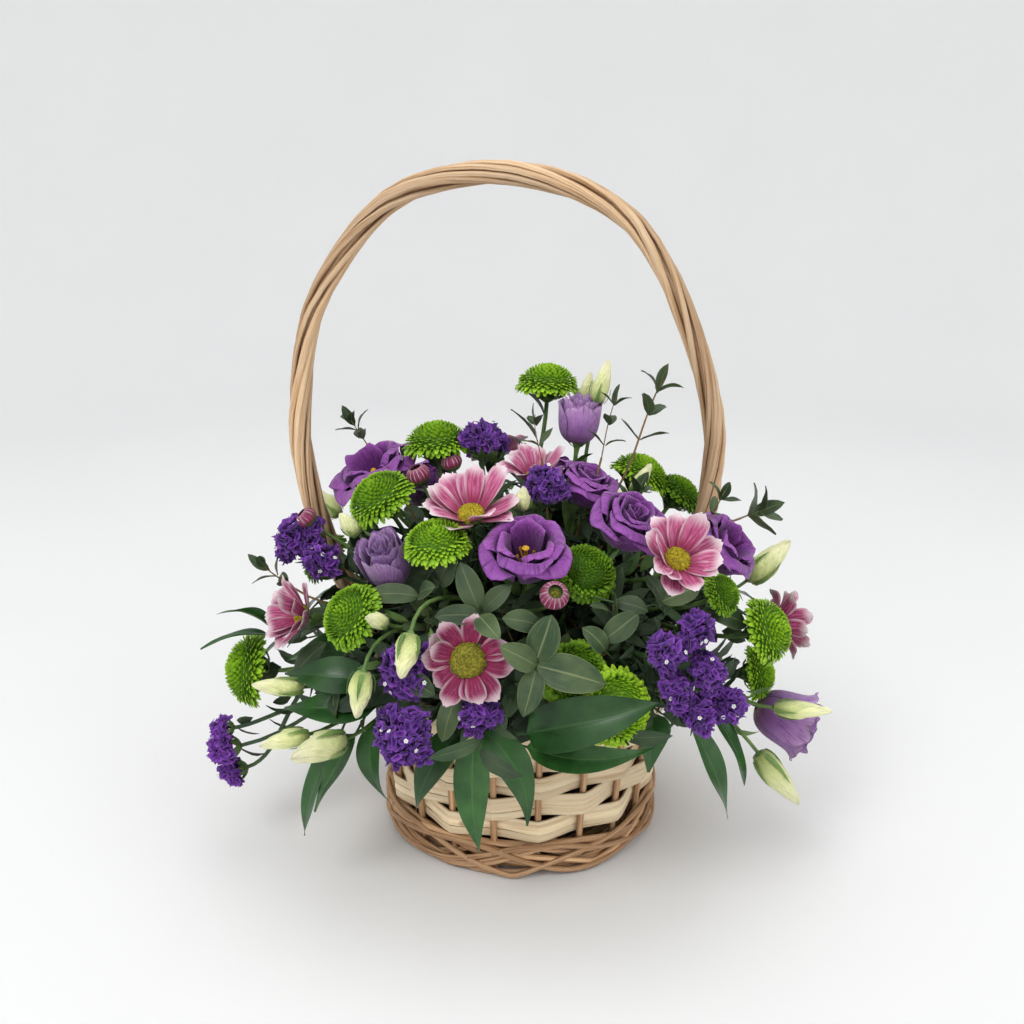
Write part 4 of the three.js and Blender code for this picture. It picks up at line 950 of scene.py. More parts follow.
def lisianthus_petal(radius, profile, half_angle, ruffle, chance):
    """One wide petal that wraps round the cup, its rim rolled and gently ruffled."""
    phase = chance.uniform(0, TURN)
    lift = chance.uniform(-0.05, 0.06)
    shoulder = chance.uniform(0.10, 0.18)
    skew = chance.uniform(-0.06, 0.06)
    size = radius * MM

    def form(across, along):
        reach = np.clip(along * (1 - shoulder * across ** 2 + skew * across * along), 0, 1.05)
        curve = bezier(profile, reach)
        out, up = curve[:, 0], curve[:, 1]
        narrowing = 1 - 0.25 * np.clip((along - 0.65) / 0.35, 0, 1) ** 2
        angle = across * half_angle * (0.72 + 0.28 * along) * narrowing
        wave = ruffle * (np.sin(across * 5.2 + phase) + 0.5 * np.sin(across * 11 + phase * 2)) * along ** 3.5
        fold = 0.03 * np.cos(across * 4.6 + phase) * along ** 2
        out = out * (1 + 0.10 * across * along) + fold
        up = up + wave + lift * along ** 2 - 0.10 * np.abs(across) ** 3 * along
        return np.stack([out * np.cos(angle), out * np.sin(angle), up], axis=1) * size

    return sheet(14, 14, form, 0.6 * MM)


def lisianthus(number):
    at, radius, facing, habit, lightness = LISIANTHUS[number]
    chance = random.Random(100 + number)
    point = place(*at)
    stand = standing(point, facing_of(point, facing), number * 1.3)
    finish = LAVENDER if habit in ("furled", "ruffled") else VIOLET
    parts = []
    for w, (count, half_angle, profile, ruffle) in enumerate(WHORLS[habit]):
        for k in range(count):
            span = half_angle * chance.uniform(0.92, 1.06)
            petal = lisianthus_petal(radius, profile, span, ruffle, chance)
            turn = (k + 0.5 * (w % 2) + chance.uniform(-0.06, 0.06)) / count * TURN
            tone = lightness + chance.uniform(-0.15, 0.15)
            parts.append((petal.moved(stand @ Matrix.Rotation(turn, 4, "Z")), finish, tone))
    if habit in ("cup", "ruffled"):
        parts += stamens(stand, radius, chance)
    assemble(f"lisianthus_bloom_{number}", parts, [f"lisianthus_{number}"])


def stamens(stand, radius, chance):
    """Yellow anthers round a pistil, deep in the cup."""
    parts = []
    for k in range(6):
        turn = k / 6 * TURN + chance.uniform(-0.2, 0.2)
        foot = spoke(turn, 0.6, -radius * 0.6)
        head = spoke(turn, radius * 0.20, -radius * chance.uniform(0.10, 0.22))
        line = [stand @ (end * MM) for end in (foot, (foot + head) * 0.5, head)]
        parts.append((twig(line, 0.5, 0.4, 3, 4), STAMEN, 0.5))
        anther = stand @ Matrix.Translation(head * MM)
        parts.append((turned_body(anther, [(-1.6, 0.5), (0, 1.2), (1.6, 0.4)], 6), STAMEN, 0.5))
    column = [(-0.65, 1.6), (-0.4, 1.3), (-0.1, 1.1), (0, 2.3), (0.04, 0.6)]
    parts.append((turned_body(stand, [(radius * up, reach) for up, reach in column], 8), STAMEN, 0.5))
    return parts


def daisy_petal(radius, core, raised, chance):
    """One ray: narrow at the disc, broad beyond its middle, channelled, its tip bluntly pointed."""
    width = radius * chance.uniform(0.235, 0.285)
    slope = math.atan(raised) + chance.uniform(-0.17, 0.17)
    length = radius * chance.uniform(0.88, 1.06) * (1 + 0.25 * raised)
    curl = chance.uniform(-0.05, 0.09)
    twist = chance.uniform(-0.30, 0.30)
    sway = chance.uniform(-0.08, 0.08)

    def form(across, along):
        along = np.clip(along, 0, 1)
        body = 0.36 + 0.64 * np.sin(np.minimum(along / 0.62, 1) * math.pi / 2)
        taper = np.sqrt(np.clip(1 - 0.92 * (np.clip(along - 0.58, 0, 1) / 0.42) ** 2.2, 0, 1))
        half = width * body * taper
        reach = along * (1 - 0.07 * across ** 2 * along ** 4 - 0.03 * np.cos(across * 5.5) * along ** 8)
        out = core * 0.7 + (length * math.cos(slope) - core * 0.7) * reach
        side = across * half + sway * length * along ** 2
        groove = (across ** 2 * 0.34 - 0.07 * np.cos(across * 8.0) * (1 - along * 0.6)) * half
        up = length * math.sin(slope) * reach ** 1.15 - radius * 0.08 * (1 - along)
        up = up + radius * curl * np.sin(along * math.pi) - radius * 0.22 * np.clip(along - 0.78, 0, 1)
        up = up + groove + across * half * twist * along
        return np.stack([out, side, up], axis=1) * MM

    return sheet(7, 10, form, 0.55 * MM)


def daisy(number):
    at, radius, facing, depth, disc, raised = DAISIES[number]
    chance = random.Random(200 + number)
    point = place(*at)
    stand = standing(point, facing_of(point, facing), number * 0.7)
    petals = 11
    core = radius * disc
    parts = []
    for k in range(petals):
        upper = k % 2 == 0
        steep = 0.7 if raised > 0.3 and chance.random() < 0.12 else 0
        petal = daisy_petal(radius, core, raised + (0.10 if upper else -0.02) + steep, chance)
        turn = (k + chance.uniform(-0.16, 0.16)) / petals * TURN
        shift = Matrix.Translation((0, 0, (0.5 if upper else -0.5) * MM))
        tone = depth + chance.uniform(-0.12, 0.12)
        parts.append((petal.moved(stand @ Matrix.Rotation(turn, 4, "Z") @ shift), DAISY, tone))
    for k in range(2):
        petal = daisy_petal(radius * 0.85, core, raised + 0.30, chance)
        turn = (k + chance.uniform(-0.3, 0.3)) / 2 * TURN
        lift = Matrix.Translation((0, 0, 1.0 * MM))
        parts.append((petal.moved(stand @ Matrix.Rotation(turn, 4, "Z") @ lift), DAISY, depth + 0.1))
    cup, depth = core * 1.15, radius * 0.16
    levels = [(-depth, 0.25), (-depth * 0.85, 0.6), (-depth * 0.35, 1.0), (-0.2, 0.96)]
    parts.append((turned_body(stand, [(up, cup * share) for up, share in levels], 14), SEPAL, 0.4))
    assemble(f"daisy_bloom_{number}", parts, [f"daisy_{number}"])
    eye = disc_florets(stand, core, chance, DISC_OLIVE if number == 3 else DISC)
    assemble(f"daisy_disc_{number}", eye, [f"daisy_eye_{number}"])


def disc_florets(stand, core, chance, finish):
    """A low dome set with tiny florets in the spiral order of a daisy's eye."""
    levels = [(0, 0.98), (0.22, 0.93), (0.40, 0.66), (0.48, 0.30)]
    parts = [(turned_body(stand, [(core * up, core * share) for up, share in levels], 16), finish, 0.3)]
    count = 110
    for k in range(count):
        share = math.sqrt((k + 0.5) / count)
        angle = k * SPIRAL
        out = core * share
        up = core * 0.46 * (1 - share ** 2.4)
        foot = spoke(angle, out, up - 0.1)
        lean = spoke(angle, share, 1.1).normalized()
        line = np.array([tuple(stand @ (end * MM)) for end in (foot, foot + lean * 0.75, foot + lean * 1.05)])
        section = round_section([core * size * MM for size in (0.062, 0.0589, 0.031)], 5)
        parts.append((rod(line, section), finish, 0.5 + chance.uniform(-0.3, 0.3)))
    return parts


# ------------------------------------------------------------------ heads on sprays


def floret_petal(length, width, hook, columns=2):
    """A small spoon-shaped floret that stands on +Z and hooks over towards +X."""

    def form(across, along):
        tip = 1 - 0.5 * np.clip((along - 0.7) / 0.3, 0, 1) ** 2
        half = width * 0.5 * (0.6 + 0.4 * np.sin(along * math.pi * 0.75)) * tip
        bow = hook * along ** 2
        return np.stack([bow - 0.3 * half * across ** 2, across * half, along * length], axis=1) * MM

    return sheet(columns, 3, form, 0.5 * MM)


def pompon(point, axis, radius, lightness, chance):
    """A santini head: hundreds of short florets packed over a low dome, longer and flatter round its rim."""
    parts = []
    stand = standing(point, axis, chance.uniform(0, TURN))
    inner = floret_petal(radius * 0.15, radius * 0.125, radius * -0.05, 1)
    outer = floret_petal(radius * 0.19, radius * 0.135, radius * 0.05)
    rim = floret_petal(radius * 0.30, radius * 0.16, radius * 0.11)
    core_levels = [(-0.34, 0.35), (-0.26, 0.74), (0.0, 0.86), (0.26, 0.80), (0.46, 0.62), (0.58, 0.36),
                   (0.62, 0.12)]
    core = turned_body(stand, [(up * radius, share * radius) for up, share in core_levels], 14)
    core.surface[:, 1] = 0.25
    # Painted shade: the dome under the florets takes only 0.7 of the head's lightness.
    parts.append((core, POMPON, lightness * 0.7))
    count = 400
    for k in range(count):
        share = (k + 0.5) / count
        polar = math.acos(1 - share * 1.30)
        angle = k * SPIRAL + chance.uniform(-0.05, 0.05)
        flatness = 0.60 if polar < math.pi / 2 else 0.5
        foot = spoke(angle, math.sin(polar) * 0.86, math.cos(polar) * flatness) * radius * MM
        lean = polar * (0.85 if share < 0.6 else 0.98) + chance.uniform(-0.12, 0.12)
        direction = spoke(angle, math.sin(lean), math.cos(lean))
        outward = spoke(angle, math.cos(lean), -math.sin(lean))
        size = chance.uniform(0.88, 1.12)
        turned = matrix_of(outward * size, direction.cross(outward) * size, direction * size, foot)
        kind = inner if share < 0.45 else outer if share < 0.80 else rim
        # Painted shade: florets round the lower rim of the head are made darker.
        tone = lightness + chance.uniform(-0.18, 0.18) - 0.5 * max(share - 0.70, 0)
        parts.append((kind.moved(stand @ turned), POMPON, min(max(tone, 0), 1)))
    for k in range(9):
        angle = k / 9 * TURN
        root = stand @ (spoke(angle, 0.16, -0.50) * radius * MM)
        tip = stand @ (spoke(angle, 0.66, -0.30) * radius * MM)
        parts.append((leaf(root, tip, axis * -1, radius * 0.24, 1.0, 0.1, (2, 4)), SEPAL, 0.35))
    neck = [(-0.62, 0.10), (-0.50, 0.28), (-0.34, 0.42)]
    parts.append((turned_body(stand, [(up * radius, share * radius) for up, share in neck], 8), SEPAL, 0.3))
    return parts


def ruffle_shape(seed):
    """A papery floret: a small funnel, folded nearly flat, with a crimped rim."""
    chance = random.Random(seed)
    sides = 9
    turn, level, corners, starts = rod_blank(sides, 2)
    angle = turn / sides * TURN
    out = np.array([0.12, 1.05, 0.12])
    height = np.array([-0.95, 0.14, -0.46])
    start, other = chance.uniform(0, TURN), chance.uniform(0, TURN)
    rough = np.array([chance.uniform(-0.14, 0.14) for _ in range(sides)] + [0.0])
    crimp = 0.34 * np.sin(angle * 3 + start) + rough[turn]
    spread = 1 + 0.16 * np.sin(angle * 4 + other) + rough[turn] * 0.6
    squeeze = chance.uniform(0.42, 0.72)
    share = np.array([0.0, 1.0, 0.0])[level]
    reach = out[level] * (1 + (spread - 1) * share)
    up = height[level] + crimp * share
    points = np.stack([np.cos(angle) * reach * 1.2, np.sin(angle) * reach * squeeze, up], axis=1)
    middle = turn < 0
    points[middle] = np.stack([np.zeros(middle.sum()), np.zeros(middle.sum()), height[level[middle]]], axis=1)
    along = np.array([0.0, 1.0, 0.25])
    surface = np.stack([np.where(turn < 0, 0.5, turn / sides), along[level]], axis=1)[corners]
    return Shape(points, corners, starts, surface)


RUFFLES = [ruffle_shape(seed) for seed in range(7)]


def statice_cluster(point, axis, radius, lightness, chance):
    """A cluster of papery florets with a few tiny white flowers and green bracts beneath."""
    parts = []
    stand = standing(point, axis, chance.uniform(0, TURN))
    lobes = [(Vector((0, 0, 0.05)), 0.95)]
    for k in range(4):
        angle = k / 4 * TURN + chance.uniform(-0.5, 0.5)
        reach = chance.uniform(0.45, 0.75)
        lobes.append((spoke(angle, reach, chance.uniform(-0.45, 0.1)), chance.uniform(0.5, 0.7)))
    for middle, share in lobes:
        reach = radius * 0.66 * share
        count = max(12, int(80 * share * share * (radius / 18) ** 2))
        for k in range(count):
            spread = (k + 0.5) / count
            polar = math.acos(1 - spread * 1.35)
            angle = k * SPIRAL + chance.uniform(-0.3, 0.3)
            direction = spoke(angle, math.sin(polar), math.cos(polar))
            wild = Vector([chance.uniform(-0.45, 0.45) for _ in range(3)])
            centre = (middle * radius * 0.8 + direction * reach * chance.uniform(0.82, 1.18)) * MM
            tilt = (stand.to_3x3() @ (direction + wild)).normalized()
            seat = standing(stand @ centre, tilt, chance.uniform(0, TURN))
            matrix = seat @ Matrix.Scale(chance.uniform(2.7, 3.9) * MM, 4)
            tone = min(max(chance.gauss(lightness, 0.2), 0), 1)
            parts.append((chance.choice(RUFFLES).moved(matrix), STATICE_FLORET, tone))
            if chance.random() < 0.05 and polar < 1.3:
                parts += white_floret(stand @ (centre + direction * 2.2 * MM), tilt)
    for k in range(8):
        angle = k / 8 * TURN + chance.uniform(-0.2, 0.2)
        root = stand @ (spoke(angle, 0.12, -0.95) * radius * MM)
        tip = stand @ (spoke(angle, 0.70, chance.uniform(-0.5, -0.2)) * radius * MM)
        parts.append((leaf(root, tip, axis, radius * 0.4, -1.0, 0.1, (2, 4)), SEPAL, 0.25))
    return parts


def white_floret(point, axis):
    stand = standing(point, axis)
    parts = []
    for k in range(5):
        petal = floret_petal(1.5, 1.2, 0.1)
        lie = Matrix.Rotation(k / 5 * TURN, 4, "Z") @ Matrix.Rotation(math.radians(66), 4, "Y")
        parts.append((petal.moved(stand @ lie), WHITE_FLORET, 0.6))
    return parts


# how fast each outline of leaf widens from its root, how fast it narrows, and what makes it 1 wide at most
OUTLINES = {"lance": (0.6, 1.05, 2.93), "long": (0.5, 1.25, 2.85), "broad": (0.45, 0.9, 2.36)}


def leaf(root, tip, up, width, arch, fold, grid=(4, 8), outline="lance", bend=0.0):
    """A leaf from root to tip whose upper face looks along up: its rise, fold and sideways bend."""
    run = tip - root
    arch = min(arch, run.length / MM * 0.13)
    side = run.cross(up).normalized()
    face = side.cross(run).normalized()
    start, ahead, aside, above = (np.array(vector)[None, :] for vector in (root, run, side, face))

    def form(across, along):
        t = np.clip(along, 0, 1)
        if outline == "oval":
            half = np.sin(math.pi * t ** 0.9) ** 0.62
        else:
            widening, narrowing, scale = OUTLINES[outline]
            half = t ** widening * (1 - t) ** narrowing * scale
        half = (half * 0.97 + 0.03) * width * 0.5 * MM
        lift = arch * 4 * t * (1 - t) * MM + fold * np.abs(across) ** 1.5 * half
        wave = 0.05 * width * MM * np.sin(t * 8 + width) * across
        sideways = across * half + bend * t * (1 - t) * run.length
        return start + ahead * t[:, None] + aside * sideways[:, None] + above * (lift + wave)[:, None]

    return sheet(*grid, form, 0.7 * MM)


def bud_swell(share):
    """How wide a closed bud is along its length, as a share of its radius."""
    rounded = math.sin(min(share * 0.94 + 0.06, 1) ** 0.68 * math.pi)
    return max(rounded, 0) ** 0.75 * 0.93 + 0.07


def lisianthus_bud(neck, axis, radius, length, chance):
    """Petals furled round each other to a point, held by narrow sepals that lie along them."""
    steps, sides = 16, 18
    shares = np.linspace(0, 1, steps + 1)
    stand = standing(neck, axis, chance.uniform(0, TURN))
    tip_shift = chance.uniform(0.1, 0.35) * radius
    section = np.zeros((steps + 1, sides, 2))
    for i, share in enumerate(shares):
        for k in range(sides):
            angle = k / sides * TURN
            furl = (angle / TURN * 3 + share * 1.5) % 1
            edge = 1 + 0.20 * (furl - 0.5) * math.sin(share * math.pi) ** 0.8
            torn = max(share - 0.8, 0) * 5
            reach = radius * bud_swell(share) * edge * (1 + 0.7 * torn * math.cos(angle * 3 + 1)) * MM
            section[i, k] = (math.cos(angle) * reach, math.sin(angle) * reach)
    middle = [Vector((tip_shift * share ** 2, 0, length * share)) * MM for share in shares]
    body = rod(np.array([tuple(stand @ point) for point in middle]), section)
    body.surface[:, 1] = np.clip(body.surface[:, 1] / (length * MM), 0, 1)
    parts = [(body, BUD, chance.uniform(0.35, 0.9))]
    cup = points_along(neck, axis, (-2.0, 0.4, length * 0.10))
    section = round_section([1.1 * MM, radius * 0.44 * MM, radius * 0.66 * MM], 10)
    parts.append((rod(cup, section), SEPAL, 0.6))
    for k in range(4):
        turn = k / 4 * TURN
        reach = chance.uniform(0.35, 0.60)

        def form(across, along):
            share = 0.03 + reach * along
            wide = radius * 0.19 * (1 - along ** 2) + 0.1
            out = np.array([radius * bud_swell(value) * 1.10 for value in share]) + 0.5
            out = out + tip_shift * share ** 2 * math.cos(turn)
            return np.stack([out, across * wide, length * share], axis=1) * MM

        sepal = sheet(2, 5, form, 0.5 * MM).moved(stand @ Matrix.Rotation(turn, 4, "Z"))
        parts.append((sepal, SEPAL, 0.7))
    return parts


def daisy_bud(neck, axis, radius, length, chance):
    """A half-open daisy: short striped rays curling in over a green cup."""
    middle = neck + axis * length * 0.5 * MM
    stand = standing(middle, axis, chance.uniform(0, TURN))
    levels = [(-0.75, 0.25), (-0.55, 0.75), (-0.1, 0.98), (0.25, 0.85), (0.45, 0.45)]
    cup = turned_body(stand, [(up * radius, share * 0.86 * radius) for up, share in levels], 12)
    parts = [(cup, SEPAL, 0.35)]
    eye = stand @ Matrix.Translation((0, 0, radius * 0.3 * MM))
    parts += disc_florets(eye, radius * 0.42, chance, DISC_OLIVE)[::2]
    for k in range(17):
        turn = (k + chance.uniform(-0.2, 0.2)) / 17 * TURN

        def form(across, along):
            half = radius * 0.15 * (0.7 + 0.5 * np.sin(along * math.pi))
            polar = -0.55 + 1.62 * along
            out = radius * (0.92 * np.cos(polar) + 0.06)
            up = radius * (0.80 * np.sin(polar) + 0.12)
            return np.stack([out, across * half, up], axis=1) * MM

        ray = sheet(2, 5, form, 0.7 * MM).moved(stand @ Matrix.Rotation(turn, 4, "Z"))
        parts.append((ray, DAISY_BUD, chance.uniform(1.05, 1.25)))
    for k in range(14):
        angle = k / 14 * TURN
        root = stand @ (spoke(angle, 0.2, -0.8) * radius * MM)
        tip = stand @ (spoke(angle, 0.98, 0.02) * radius * MM)
        outward = stand.to_3x3() @ spoke(angle, 1, -0.4)
        parts.append((leaf(root, tip, outward, radius * 0.45, radius * 0.14, 0.1, (2, 4)), SEPAL, 0.3))
    return parts


def bloom_cup(neck, axis, radius, chance):
    """The green base and the narrow sepals under a lisianthus bloom."""
    section = round_section([1.4 * MM, radius * 0.16 * MM, radius * 0.24 * MM, radius * 0.20 * MM], 10)
    parts = [(rod(points_along(neck, axis, (0, 4, 9, 13)), section), SEPAL, 0.6)]
    stand = standing(neck, axis, chance.uniform(0, TURN))
    for k in range(5):
        angle = k / 5 * TURN
        root = stand @ (spoke(angle, radius * 0.15, 6) * MM)
        tip = stand @ (spoke(angle, radius * 0.75, 9 + radius * 0.55) * MM)
        outward = stand.to_3x3() @ spoke(angle, 1, -0.3)
        parts.append((leaf(root, tip, outward, 2.6, 1.2, 0.0, (2, 5)), SEPAL, 0.6))
    return parts


# ------------------------------------------------------------------ stems


def main_stem(foot, count, finish, radius=2.5):
    bearing, out = foot
    low = place(bearing, out * 0.9, FOAM_TOP - 30)
    top = place(bearing, out * 1.02, FOAM_TOP + 8 + 4 * count)
    return [(twig([low, (low + top) / 2, top], radius, radius * 0.9, 4, 8), finish, 0.5)], top


def branch(top, neck, arrival, radius, finish, end_radius=None):
    reach = (neck - top).length
    straight = (neck - top).normalized()
    controls = (top, top + straight * reach * 0.35 + UP * reach * 0.05, neck - arrival * reach * 0.3, neck)
    line = bezier([tuple(control) for control in controls], np.linspace(0, 1, 13))
    radii = np.linspace(radius, end_radius or radius * 0.85, 13) * MM
    return (rod(line, round_section(radii, 7)), finish, 0.5)


def stem_leaves(line_from, line_to, finish, chance, count, length, width):
    """Narrow leaves set along a stem between two points."""
    parts = []
    for k in range(count):
        share = (k + 0.5) / count
        root = line_from.lerp(line_to, share)
        axis = (line_to - line_from).normalized()
        side = heading(chance.uniform(0, 360), chance.uniform(-20, 30))
        side = (side - axis * side.dot(axis)).normalized()
        tip = root + (axis * 0.75 + side).normalized() * length * chance.uniform(0.7, 1.1) * MM
        up = (axis - side * 0.4).normalized()
        parts.append((leaf(root, tip, up, width, 2.0, 0.25, (2, 5)), finish, chance.uniform(0.2, 0.6)))
    return parts


def lisianthus_stems(name):
    foot, blooms, buds = LISIANTHUS_STEMS[name]
    chance = random.Random(f"lisianthus {name}")
    parts, top = main_stem(foot, len(blooms) + len(buds), STEM)
    for number in blooms:
        at, radius, facing, habit, _ = LISIANTHUS[number]
        middle = place(*at)
        axis = facing_of(middle, facing)
        depth = radius * (1.3 if habit == "furled" else 0.75)
        neck = middle - axis * (depth + 9) * MM
        parts.append(branch(top, neck, axis, 1.7, STEM))
        parts += bloom_cup(neck, axis, radius, chance)
        parts += stem_leaves(top.lerp(neck, 0.45), neck, SEPAL, chance, 3, 30, 8)
    for bearing, out, up, radius, length, *turned in buds:
        middle = place(bearing, out, up)
        axis = facing_of(middle, *turned)
        neck = middle - axis * length * 0.5 * MM
        parts.append(branch(top, neck, axis, 1.6, STEM, 1.2))
        parts += lisianthus_bud(neck, axis, radius, length, chance)
        parts += stem_leaves(top.lerp(neck, 0.5), top.lerp(neck, 0.95), SEPAL, chance, 2, 22, 5)
    assemble(f"lisianthus_cut_stems_{name}", parts, [f"lisianthus_stems_{name}"])


def daisy_stems(name):
    foot, blooms, buds = DAISY_STEMS[name]
    chance = random.Random(f"daisy {name}")
    parts, top = main_stem(foot, len(blooms) + len(buds), STEM)
    for number in blooms:
        at, radius, facing, *_ = DAISIES[number]
        middle = place(*at)
        axis = facing_of(middle, facing)
        neck = middle - axis * 5 * MM
        parts.append(branch(top, neck, axis, 1.7, STEM))
        parts += stem_leaves(top.lerp(neck, 0.5), neck, SEPAL, chance, 3, 24, 9)
    for bearing, out, up, radius, length in buds:
        neck = place(bearing, out, up)
        axis = facing_of(neck)
        parts.append(branch(top, neck, axis, 1.3, STEM))
        parts += daisy_bud(neck, axis, radius, length, chance)
    assemble(f"daisy_cut_stems_{name}", parts, [f"daisy_stems_{name}"])


def santini_spray(name):
    foot, heads = SANTINI[name]
    chance = random.Random(f"santini {name}")
    parts, top = main_stem(foot, len(heads), STEM)
    for bearing, out, up, radius, lightness, *turned in heads:
        middle = place(bearing, out, up)
        axis = facing_of(middle, *turned)
        neck = middle - axis * radius * 0.55 * MM
        parts.append(branch(top, neck, axis, 1.8, STEM))
        parts += pompon(middle, axis, radius, lightness, chance)
        parts += stem_leaves(top.lerp(neck, 0.5), neck, FILLER_LEAF, chance, 4, 28, 12)
    assemble(f"santini_heads_{name}", parts, [f"santini_{name}"])


SIDE_CLUSTER = 12  # a statice cluster of a smaller radius is a side shoot


def statice_spray(name):
    """Clusters on dark stems; the smallest ones branch off the stem of the cluster before them."""
    foot, clusters = STATICE[name]
    chance = random.Random(f"statice {name}")
    parts, top = main_stem(foot, len(clusters), DARK_STEM)
    fork = top
    for bearing, out, up, radius, *own in clusters:
        middle = place(bearing, out, up)
        axis = facing_of(middle)
        neck = middle - axis * radius * 0.9 * MM
        parts.append(branch(fork if radius < SIDE_CLUSTER else top, neck, axis, 1.6, DARK_STEM))
        fork = neck.lerp(top, 0.3)
        parts += statice_cluster(middle, axis, radius, own[0] if own else 0.5, chance)
        parts += stem_leaves(top.lerp(neck, 0.5), neck, FILLER_LEAF, chance, 3, 22, 6)
    assemble(f"statice_clusters_{name}", parts, [f"statice_{name}"], smooth=85)


def ruscus_spray(name):
    foot, leaves = RUSCUS[name]
    chance = random.Random(f"ruscus {name}")
    parts, top = main_stem(foot, len(leaves), DARK_STEM, 2.2)
    for root_place, tip_place, width, *own in leaves:
        root, tip = place(*root_place), place(*tip_place)
        up = (heading(tip_place[0], 35) + UP * 0.2).normalized()
        arrival = (tip - root).normalized()
        parts.append(branch(top, root, arrival, 1.1, DARK_STEM, 0.8))
        outline = "broad" if width > 30 else "long"
        bend = own[0] if own else chance.uniform(0.15, 0.5) * chance.choice((-1, 1))
        light = own[1] if len(own) > 1 else chance.uniform(0.35, 0.85)
        blade = leaf(root, tip, up, width, 7 + chance.uniform(-1, 3), 0.30, (8, 18), outline, bend)
        parts.append((blade, RUSCUS_LEAF, light))
    assemble(f"ruscus_leaves_{name}", parts, [f"ruscus_{name}"])


def sprig(start, top, pairs, length, chance):
    """A twig with oval leaves in pairs, each pair square to the one below it."""
    width, light, grid = 0.42, 0.6, (4, 7)
    axis = (top - start).normalized()
    stand = standing(start, axis)
    side_a = stand.to_3x3() @ Vector((1, 0, 0))
    side_b = stand.to_3x3() @ Vector((0, 1, 0))
    line = [start, (start + top) / 2 + side_a * 1.5 * MM, top - axis * length * 0.5 * MM]
    crown = leaf(top - axis * length * MM, top, side_a, length * width, 1.0, 0.2, grid, "oval")
    parts = [(twig(line, 0.75, 0.5, 5, 6), BROWN_STEM, 0.5), (crown, EUCALYPTUS_LEAF, light)]
    for j in range(pairs):
        root = start.lerp(top - axis * length * 0.6 * MM, (j + 0.6) / pairs)
        size = length * (1.05 - 0.12 * j / max(pairs - 1, 1)) * chance.uniform(0.9, 1.08)
        for turn in (0, math.pi):
            angle = j * math.pi / 2 + 0.5 + turn + chance.uniform(-0.25, 0.25)
            out = side_a * math.cos(angle) + side_b * math.sin(angle)
            tip = root + (out * 0.85 + axis * chance.uniform(0.35, 0.6)) * size * MM
            up = (axis - out * 0.4).normalized()
            breadth = size * width * chance.uniform(0.9, 1.15)
            blade = leaf(root + out * 0.6 * MM, tip, up, breadth, chance.uniform(0, 2.5), 0.2, grid, "oval")
            parts.append((blade, EUCALYPTUS_LEAF, light + chance.uniform(-0.2, 0.2)))
    return parts


def eucalyptus_spray(name):
    foot, sprigs = EUCALYPTUS[name]
    chance = random.Random(f"eucalyptus {name}")
    parts, top = main_stem(foot, len(sprigs), BROWN_STEM, 2.0)
    for start_place, tip_place, pairs, length in sprigs:
        start, tip = place(*start_place), place(*tip_place)
        axis = (tip - start).normalized()
        parts.append(branch(top, start, axis, 1.0, BROWN_STEM, 0.75))
        parts += sprig(start, tip, pairs, length, chance)
    for root_place, tip_place, width in EUCALYPTUS_LEAVES[name]:
        root, tip = place(*root_place), place(*tip_place)
        up = ((root + tip) / 2 - DOME_MIDDLE).normalized()
        parts.append(branch(top, root, (tip - root).normalized(), 0.8, DARK_STEM, 0.6))
        blade = leaf(root, tip, up, width, 2.5, 0.15, (6, 10), "oval")
        parts.append((blade, EUCALYPTUS_LEAF, chance.uniform(0.25, 0.85)))
    assemble(f"eucalyptus_sprigs_{name}", parts, [f"eucalyptus_{name}"])


def kept_clear():
    """Every bloom, head and broad leaf that the loose foliage must not hide: its place, axis and radius."""
    blooms = (*LISIANTHUS.values(), *DAISIES.values())
    spots = [(place(*at), facing, radius) for at, radius, facing, *_ in blooms]
    heads = [head for _, spray in (*SANTINI.values(), *STATICE.values()) for head in spray]
    spots += [(place(bearing, out, up), None, radius) for bearing, out, up, radius, *_ in heads]
    spots = [(middle, facing_of(middle, facing), radius * MM) for middle, facing, radius in spots]
    root_place, tip_place, width, *_ = RUSCUS["front"][1][0]
    for share in (0.1, 0.3, 0.5, 0.7, 0.9):
        middle = place(*root_place).lerp(place(*tip_place), share)
        spots.append((middle, heading(tip_place[0], 30), width * 0.6 * MM))
    return spots


def is_clear(point, spots):
    """Whether a point lies neither in a spot nor in front of it."""
    for middle, axis, radius in spots:
        away = point - middle
        height = away.dot(axis)
        if -0.3 * radius < height < 50 * MM and (away - axis * height).length < radius:
            return False
    return True


